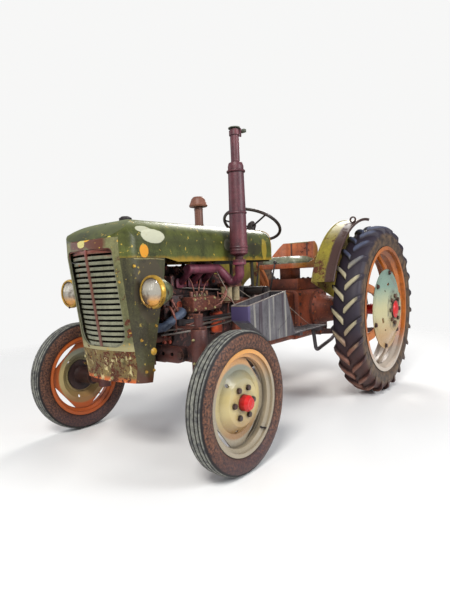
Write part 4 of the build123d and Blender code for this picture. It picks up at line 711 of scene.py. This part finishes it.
front_half = [
    (0.0, FRONT_R), (0.0085, FRONT_R), (0.0095, 0.340), (0.0145, 0.340), (0.0155, 0.3472), (0.0285, 0.3462),
        (0.0295, 0.3382),
    (0.0335, 0.3382), (0.0345, 0.3445), (0.041, 0.341), (0.046, 0.334), (0.0545, 0.315), (0.0575, 0.300),
        (0.0565, 0.284),
    (0.050, 0.268), (0.0415, 0.259), (0.0375, 0.2575), (0.0355, FRONT_SEAT + 0.0005), (0.0, FRONT_SEAT + 0.0005),
]
rear_half = [
    (0.0, REAR_CASING), (0.040, 0.6135), (0.070, 0.607), (0.086, 0.596), (0.098, 0.572), (0.103, 0.545), (0.102, 0.520),
    (0.096, 0.500), (0.091, 0.4865), (0.0885, 0.4812), (0.0865, REAR_SEAT + 0.0005), (0.0, REAR_SEAT + 0.0005),
]


def whole(half):
    """Both halves of a tyre's section from one."""
    return half + [(-x, r) for x, r in reversed(half) if x > 0]


# one bar in a unit box: x along it, y across it, z up from the casing
bar_bm = bmesh.new()
bmesh.ops.create_cube(bar_bm, size=1)
bevel(bar_bm, [e for e in bar_bm.edges if e.verts[0].co.z + e.verts[1].co.z > -0.5], 0.07, 2)
bmesh.ops.subdivide_edges(bar_bm, edges=[e for e in bar_bm.edges if abs(e.verts[0].co.x - e.verts[1].co.x) > 0.5],
    cuts=5)
unit_bar = bpy.data.meshes.new("unit_bar")
bar_bm.to_mesh(unit_bar)
bar_bm.free()


def add_bar(bm, centre, side, turn):
    """One tread bar, bent over the casing: it starts at the middle plane and trails to the shoulder."""
    first = len(bm.verts)
    bm.from_mesh(unit_bar)
    bm.verts.ensure_lookup_table()
    x, y, z = centre
    for vert in bm.verts[first:]:
        reach, thick, rise = vert.co.x + 0.5, vert.co.y, vert.co.z + 0.5
        across = 0.003 + 0.101 * reach
        top = REAR_R - 0.004 * min(1, 2 * reach) ** 2 - 0.030 * max(0, 2 * reach - 1) ** 1.8
        foot = REAR_CASING - BAR_DROP * reach ** 2 - 0.006
        radius = foot + (top - foot) * rise
        half_thick = 0.030 - 0.016 * rise - 0.002 * reach
        angle = turn - (BAR_SWEEP * reach ** 0.9 + 2 * half_thick * thick) / REAR_R
        vert.co = (x + side * across, y - radius * math.sin(angle), z + radius * math.cos(angle))


for name, side in (("left", 1), ("right", -1)):
    bm = bmesh.new()
    ring(bm, (side * FRONT_X, FRONT_AXLE_Y, FRONT_R), whole(front_half), 96)
    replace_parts(made(f"front_tyre_{name}_ribbed", bm, f"front_tyre_{name}", None, 40), f"front_tyre_{name}")
    bm = bmesh.new()
    middle = (side * REAR_X, REAR_AXLE_Y, REAR_R)
    ring(bm, middle, whole(rear_half), 96)
    for half in (1, -1):
        for step in range(BARS):
            add_bar(bm, middle, half, math.tau * (step + (0.5 if half < 0 else 0)) / BARS)
    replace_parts(made(f"rear_tyre_{name}_treaded", bm, f"rear_tyre_{name}", None, 40), f"rear_tyre_{name}")

# ---- nose, hood and lamps
tubes("hood_end_bead", "hood", mirrored([
    (0.0028, [(0.2475, -0.160, z) for z in (1.06, 1.12, 1.17)]
        + [(0.236, -0.160, 1.215), (0.200, -0.160, 1.243), (0.10, -0.160, 1.262), (0, -0.160, 1.2675)]),
]), "gilt")
tubes("hood_centre_bead", "hood", [(0.0030, [(0, -1.36, 1.246), (0, -1.22, 1.2625), (0, -1.0, 1.2668),
    (0, -0.6, 1.2668), (0, -0.17, 1.2668)])], "hood_paint")
tubes("side_panel_bead", "side_panels", mirrored([
    (0.0022, [(0.249, -1.40, 1.054), (0.2498, -1.33, 1.054), (0.2498, -1.25, 1.054), (0.2498, -1.20, 1.050)]),
]), "bead")
bolts("side_panel_screws", "side_panels", [
    one((side * 0.250, y, z), (side, 0, 0), 0.012)
    for side in (1, -1) for y, z in ((-1.40, 1.02), (-1.38, 0.66), (-1.28, 0.72), (-1.36, 0.50), (-1.31, 0.50))
], "gilt")
turned("side_panel_latches", "side_panels", [
    ((side * 0.249, -1.304, 0.594), (side, 0, 0), [(0, 0.010), (0.010, 0.010), (0.013, 0.006), (0.018, 0.004),
        (0.020, 0), (0, -0.002)])
    for side in (1, -1)
], "gilt")
bolts("apron_bolts", "lower_apron", [
    one((side * 0.150, -1.4235, 0.560), (0, -1, 0.05), 0.015) for side in (1, -1)
] + [one((side * 0.07, -1.4295, 0.466), (0, -1, 0.05), 0.012) for side in (1, -1)], "bead")
turned("headlamp_rims", "headlamps", [
    ((x, -1.378, LAMP_Z), (0, -1, 0), [(0.0665, -0.004), (0.0675, 0.003), (0.0720, 0.0065), (0.0775, 0.004),
        (0.0806, -0.004), (0.0806, -0.018), (0.078, -0.018)])
    for x in (LAMP_X, -LAMP_X)
], "lamp_metal", 48)
bolts("headlamp_screws", "headlamps", [one((x, -1.383, 0.8165), (0, -1, 0), 0.010) for x in (LAMP_X, -LAMP_X)], "bolt")
turned("radiator_filler", "radiator", [((0, -1.222, 1.288), (0, 0, 1), [
    (0, 0.007), (0.022, 0.006), (0.028, 0.001), (0.034, -0.002), (0.0345, -0.008), (0.030, -0.008)])], "dark_metal", 32)

# ---- engine
rows = []
for side in (1, -1):
    rows += [
        ((side * 0.134, -1.06, 0.640), (side * 0.134, -0.51, 0.640), 9, (side, 0, 0), 0.015),
        ((side * 0.134, -1.06, 0.842), (side * 0.134, -0.51, 0.842), 7, (side, 0, 0), 0.014),
        ((side * 0.104, -1.00, 0.500), (side * 0.104, -0.55, 0.500), 7, (side, 0, 0), 0.014),
        ((side * 0.164, -0.478, 0.49), (side * 0.164, -0.478, 0.83), 5, (side, 0, 0), 0.018),
        ((side * 0.164, 0.40, 0.46), (side * 0.164, 0.40, 0.78), 5, (side, 0, 0), 0.018),
        ((side * 0.164, 0.86, 0.46), (side * 0.164, 0.86, 0.78), 5, (side, 0, 0), 0.018),
    ]
rows += [((0.098, -0.995, 0.967), (0.098, -0.53, 0.967), 6, (0, 0, 1), 0.019),
         ((-0.104, -0.995, 0.967), (-0.104, -0.53, 0.967), 6, (0, 0, 1), 0.019)]
bolts("engine_bolts", "engine_block", rows)
bolts("lift_cover_bolts", "lift_cover", [
    ((side * 0.122, 0.46, 0.904), (side * 0.122, 0.72, 0.904), 4, (0, 0, 1), 0.018) for side in (1, -1)])
bolts("trumpet_bolts", "axle_trumpets", [
    one(place, (side, 0, 0), 0.019) for side in (1, -1)
        for place in ring_places((side * 0.1885, REAR_AXLE_Y, REAR_R), 0.137, 12, 0.2)])
turned("rocker_nuts", "cylinder_head", [((-0.02, y, 1.023), (0, 0, 1), [
    (0, 0.026), (0.008, 0.024), (0.012, 0.017), (0.012, 0.008), (0.020, 0.005), (0.020, -0.002), (0, -0.002)])
        for y in (-0.92, -0.76, -0.60)], "bolt")
turned("oil_filler", "cylinder_head", [((-0.045, -0.98, 0.965), (0, 0, 1), [
    (0, 0.075), (0.018, 0.074), (0.024, 0.066), (0.024, 0.052), (0.016, 0.048), (0.015, 0), (0, 0)])], "dark_metal")
# injectors and the lines that feed them from the pump
injectors = [(0.085, -0.94 + 0.16 * step) for step in range(3)]
turned("injectors", "cylinder_head", [((x, y, 0.966), (0.12, 0, 1), [
    (0, 0.060), (0.006, 0.060), (0.008, 0.050), (0.012, 0.046), (0.013, 0.020), (0.020, 0.014), (0.022, 0.0), (0, 0.0)])
        for x, y in injectors], "pump_metal")
tubes("injection_lines", "fuel_system", [
    (0.0035, [(PUMP_X, PUMP_Y + PUMP_PITCH * step, 0.842), (0.184, -0.905 + PUMP_PITCH * step, 0.880),
        (0.160, (y - 0.9 + 0.044 * step) / 2, 0.955),
              (0.125, y - 0.01, 0.998), (x + 0.012, y, 1.020)]) for step, (x, y) in enumerate(injectors)], "pipe")
tubes("fuel_pipes", "fuel_system", [
    (0.0045, [(0.185, -0.760, 0.800), (0.215, -0.70, 0.815), (0.215, -0.64, 0.870), (0.200, -0.610, 0.900)]),
    (0.0040, [(0.190, -0.640, 0.905), (0.235, -0.66, 0.88), (0.238, -0.72, 0.80), (0.205, -0.80, 0.770)]),
    (0.0050, [(0.150, -0.99, 0.700), (0.205, -0.98, 0.690), (0.225, -0.93, 0.720), (0.215, -0.90, 0.762)]),
    (0.0045, [(0.150, -0.52, 0.760), (0.205, -0.545, 0.745), (0.235, -0.60, 0.790), (0.215, -0.66, 0.84),
        (0.200, -0.70, 0.850)]),
], "pipe")
tubes("crankcase_pipes", "engine_block", [
    (0.0070, [(0.128, -1.075, 0.800), (0.185, -1.100, 0.790), (0.205, -1.095, 0.740), (0.200, -1.080, 0.690),
        (0.160, -1.060, 0.650), (0.120, -1.050, 0.640)]),
    (0.0050, [(0.128, -1.060, 0.830), (0.160, -1.075, 0.835), (0.178, -1.060, 0.800), (0.176, -1.030, 0.740),
        (0.140, -1.010, 0.710)]),
    (0.0048, [(0.130, -0.700, 0.600), (0.165, -0.705, 0.605), (0.190, -0.700, 0.660), (0.192, -0.690, 0.780),
        (0.180, -0.680, 0.86)]),
    (0.0060, [(0.130, -0.580, 0.690), (0.160, -0.575, 0.700), (0.172, -0.570, 0.770), (0.170, -0.560, 0.792)]),
], "pipe")
tubes("control_rods", "engine_block", [
    (0.0065, [(0.150, -1.150, 0.672), (0.225, -1.00, 0.682), (0.232, -0.494, 0.712)]),
    (0.0055, [(0.150, -1.150, 0.650), (0.232, -1.00, 0.660), (0.240, -0.494, 0.690)]),
    (0.0045, [(0.120, -0.98, 0.90), (0.150, -0.80, 0.885), (0.170, -0.66, 0.872), (0.150, -0.50, 0.862)]),
], "pale_pipe")
turned("oil_filter", "engine_block", [((0.175, -0.700, 0.612), (0, 0, 1), [
    (0, 0), (0.030, 0.002), (0.036, 0.010), (0.037, 0.110), (0.041, 0.114), (0.041, 0.124), (0.030, 0.130),
        (0.012, 0.132), (0.012, 0.146), (0, 0.148)])], "scab", 28)
turned("lift_pump", "engine_block", [
    ((0.140, -0.930, 0.705), (1, 0, 0), [(0, 0.062), (0.022, 0.060), (0.030, 0.050), (0.030, 0.040), (0.036, 0.036),
        (0.036, 0.028), (0.026, 0.024), (0.024, 0), (0, -0.002)]),
    ((0.178, -0.930, 0.735), (0, 0, 1), [(0, 0.040), (0.015, 0.038), (0.019, 0.030), (0.019, 0.004), (0.012, 0),
        (0, 0)]),
    ((0.140, -1.020, 0.760), (1, 0, 0), [(0, 0.040), (0.016, 0.040), (0.024, 0.032), (0.026, 0.020), (0.034, 0.016),
        (0.034, 0.0), (0, -0.002)]),
], "pump_metal")
turned("core_plugs", "engine_block", [((0.134, y, 0.800), (1, 0, 0), [
    (0, 0.002), (0.016, 0.001), (0.019, 0.005), (0.022, 0.005), (0.023, 0)]) for y in (-0.98, -0.70, -0.56)], "scab")
turned("filter_canisters", "fuel_system", [((FILTER_X, y, 0.786), (0, 0, 1), [
    (0, 0), (0.020, 0.001), (0.030, 0.006), (0.0352, 0.014), (0.0352, 0.092), (0.0375, 0.094), (0.0375, 0.102),
        (0.034, 0.103)]) for y in FILTER_YS], "can", 32)
bolts("filter_bolts", "fuel_system", [one((FILTER_X, y, 0.908), (0, 0, 1), 0.016) for y in FILTER_YS])
bolts("pump_bolts", "fuel_system", [((0.2245, -0.945, z), (0.2245, -0.770, z), 3, (1, 0, 0), 0.011)
    for z in (0.772, 0.828)], "bead")
turned("pump_unions", "fuel_system", [((PUMP_X, PUMP_Y + PUMP_PITCH * step, 0.836), (0, 0, 1), [
    (0, 0.022), (0.006, 0.022), (0.007, 0.014), (0.0125, 0.012), (0.013, 0), (0, 0)]) for step in range(3)], "bead", 12)
bolts("manifold_nuts", "exhaust_manifold", [
    one((0.131, -0.889 + 0.1 * step + end * 0.033, 0.925), (1, 0, 0), 0.016)
    for step in range(3) for end in (-1, 1)], "scab")

# ---- stack and air cleaner
turned("stack_bands", "exhaust_stack", [((STACK_X, STACK_Y, z), (0, 0, 1), [
    (r - 0.004, -0.006), (r + 0.001, -0.005), (r + 0.0028, 0), (r + 0.001, 0.005), (r - 0.004, 0.006)])
    for z, r in ((1.102, 0.053), (1.560, 0.053), (1.120, 0.0535), (1.32, 0.053))] + [
    ((STACK_X, STACK_Y, 1.036), (0, 0, 1), [(0.027, -0.006), (0.039, -0.005), (0.0405, 0.006), (0.036, 0.012),
        (0.027, 0.013)])], None, 40)
turned("cleaner_bands", "air_cleaner", [((-0.08, -0.517, z), (0, 0, 1), [
    (r - 0.003, -0.005), (r + 0.0015, -0.004), (r + 0.0015, 0.004), (r - 0.003, 0.005)]) for z,
        r in ((1.40, 0.028), (1.30, 0.028))], None, 32)

# ---- front axle
bolts("beam_bolts", "front_axle_beam", [
    one((side * x, -1.1435, 0.55), (0, -1, 0), 0.030) for side in (1, -1) for x in (0.086, 0.284)
], "bolt")
bolts("bracket_bolts", "front_axle_bracket", [
    one((side * 0.119, y, z), (side, 0, 0), 0.020) for side in (1, -1) for y in (-1.06, -1.10) for z in (0.60, 0.635)],
        "scab")
turned("grease_nipples", "front_axle_arms", [((side * 0.4, -1.170, z), (0, -1, 0), [
    (0, 0.014), (0.003, 0.013), (0.0035, 0.008), (0.006, 0.006), (0.007, 0), (0, -0.004)]) for side in (1, -1)
        for z in (0.52, 0.64)], "bead", 12)

# ---- wheels: valve stems, bolts, collars and hub caps
for name, side in (("left", 1), ("right", -1)):
    turned(f"front_valve_{name}", f"front_wheel_{name}",
        [((side * 0.655, FRONT_AXLE_Y + 0.150, FRONT_R - 0.165), (side, 0.2, 0), [
        (0, 0.030), (0.004, 0.029), (0.0045, 0.018), (0.0035, 0.016), (0.0035, 0.006), (0.006, 0.004), (0.006, -0.004),
            (0, -0.004)])], "dark_metal", 12)
    bolts(f"rear_rim_bolts_{name}", f"rear_disc_{name}", [
        one(place, (side, 0, 0), 0.026) for place in ring_places((side * 0.7495, REAR_AXLE_Y, REAR_R), 0.283, 6, 0.35)],
            "bolt")
    turned(f"rear_hub_collar_{name}", f"rear_hub_{name}", [((side * 0.8175, REAR_AXLE_Y, REAR_R), (side, 0, 0), [
        (0, 0.006), (0.030, 0.005), (0.044, 0.001), (0.050, -0.006), (0.046, -0.010)])], "rear_hub", 32)
    turned(f"front_cap_crown_{name}", f"front_hub_{name}", [((side * 0.7025, FRONT_AXLE_Y, FRONT_R), (side, 0, 0), [
        (0, 0.004), (0.010, 0.0035), (0.018, 0.001), (0.024, -0.003), (0.022, -0.006)])],
            f"{'front' if side > 0 else 'right'}_hub", 32)

# ---- bin
mouth_front, mouth_back = (-0.897, 0.790), (-0.498, 0.848)
tubes("bin_rolled_rim", "side_bin", [
    (0.0036, [(0.4395, mouth_front[0] + 0.001, mouth_front[1]), (0.5465, mouth_front[0] + 0.001, mouth_front[1]),
              (0.5465, mouth_back[0], mouth_back[1]), (0.4395, mouth_back[0], mouth_back[1]),
                  (0.4395, mouth_front[0] + 0.001, mouth_front[1])]),
], "pale_pipe", False)
tubes("bin_creases", "side_bin", [
    (0.0016, [(0.5478, y, 0.60 + 0.02 * k), (0.5482, y + 0.012, 0.70), (0.5478, y + 0.020, top)])
    for k, (y, top) in enumerate(((-0.80, 0.80), (-0.72, 0.812), (-0.64, 0.822)))
] + [(0.0022, [(0.5480, -0.60, 0.625), (0.5482, -0.52, 0.665), (0.5480, -0.455, 0.70)])], None)

# ---- fenders
arcs = []
for across in FENDER_EDGES:
    for side in (1, -1):
        turns = [math.radians(20 + 72 * step / 16) for step in range(17)]
        arcs.append((0.0048, [(side * across, REAR_AXLE_Y - FENDER_R * math.cos(t), REAR_R + FENDER_R * math.sin(t))
            for t in turns]))
tubes("fender_beads", "fenders", arcs, "fender_paint")

# ---- seat
tubes("seat_pan_rim", "seat_pan", mirrored([
    (0.0042, [(0.0, 0.7215, 1.212), (0.09, 0.7215, 1.212)]),
]), "bead")
PAD_MIDDLE, PAD_SHRINK = Vector((0, 0.528, 1.030)), 0.93  # shrunk first, so that it swells to its own size
PAD_SWELL, PAD_FOOT = 0.024, 0.994  # the most that it swells, and the pan's face below it
PAD_PRESSURE, PAD_FRAMES = 4, 20
pad_bm = bmesh.new()
pad_bm.from_mesh(nodes_of["seat_cushion"].data)
bmesh.ops.remove_doubles(pad_bm, verts=pad_bm.verts, dist=2e-5)
for vert in pad_bm.verts:
    vert.co = PAD_MIDDLE + (vert.co - PAD_MIDDLE) * PAD_SHRINK
pad = made("seat_cushion_pad", pad_bm, "seat_cushion", "seat_vinyl", 80)
remesh = pad.modifiers.new("even", "REMESH")
remesh.mode, remesh.voxel_size, remesh.use_smooth_shade = "VOXEL", 0.005, True
depsgraph = bpy.context.evaluated_depsgraph_get()
even = bpy.data.meshes.new_from_object(pad.evaluated_get(depsgraph))
pad.modifiers.clear()
pad.data = even
even.materials.clear()
even.materials.append(finishes["seat_vinyl"])
start = [v.co.copy() for v in even.vertices]
cloth = pad.modifiers.new("stuffing", "CLOTH")
cloth.settings.use_pressure = True
cloth.settings.uniform_pressure_force = PAD_PRESSURE
cloth.settings.effector_weights.gravity = 0
for moment in range(1, PAD_FRAMES + 1):
    scene.frame_set(moment)
swollen = bpy.data.meshes.new_from_object(pad.evaluated_get(bpy.context.evaluated_depsgraph_get()))
pad.modifiers.clear()
for vert, origin in zip(swollen.vertices, start):
    move = vert.co - origin
    if move.length > PAD_SWELL:
        vert.co = origin + move * (PAD_SWELL / move.length)
    vert.co.z = max(vert.co.z, PAD_FOOT)
pad.data = swollen
scene.frame_set(1)
smoothed = pad.modifiers.new("smooth", "SUBSURF")
smoothed.levels = smoothed.render_levels = 1
swollen.polygons.foreach_set("use_smooth", [True] * len(swollen.polygons))
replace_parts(pad, "seat_cushion")

# ---- driver's place
turned("steering_nut", "steering_wheel", [((0, -0.001, 1.331),
    (0, math.sin(math.radians(28)), math.cos(math.radians(28))), [
    (0, 0.018), (0.012, 0.017), (0.017, 0.012), (0.019, 0.002), (0.026, -0.002), (0.026, -0.008)])], "wheel_plastic")
tubes("board_treads", "footboards", [
    (0.0030, [(side * 0.372, -0.345 + 0.045 * step, 0.5745), (side * 0.484, -0.345 + 0.045 * step, 0.5745)])
        for side in (1, -1) for step in range(11)
], None, False, 8)
turned("dial_faces", "instrument_panel", [((x, -0.1485, DIAL_Z), (0, 1, 0),
    [(0, -0.003), (r - 0.006, -0.003), (r - 0.004, -0.006)])
                                           for x, r in zip(DIALS, (0.038, 0.046, 0.038))], "dial", 32)
tubes("dial_hands", "instrument_panel", [
    (0.0012, [(x, -0.1490, DIAL_Z), (x + 0.5 * r * math.sin(a), -0.1490, DIAL_Z + 0.6 * r * math.cos(a))])
    for x, r, a in zip(DIALS, (0.034, 0.042, 0.034), (0.9, -0.8, 0.3))], "seam", False, 8)
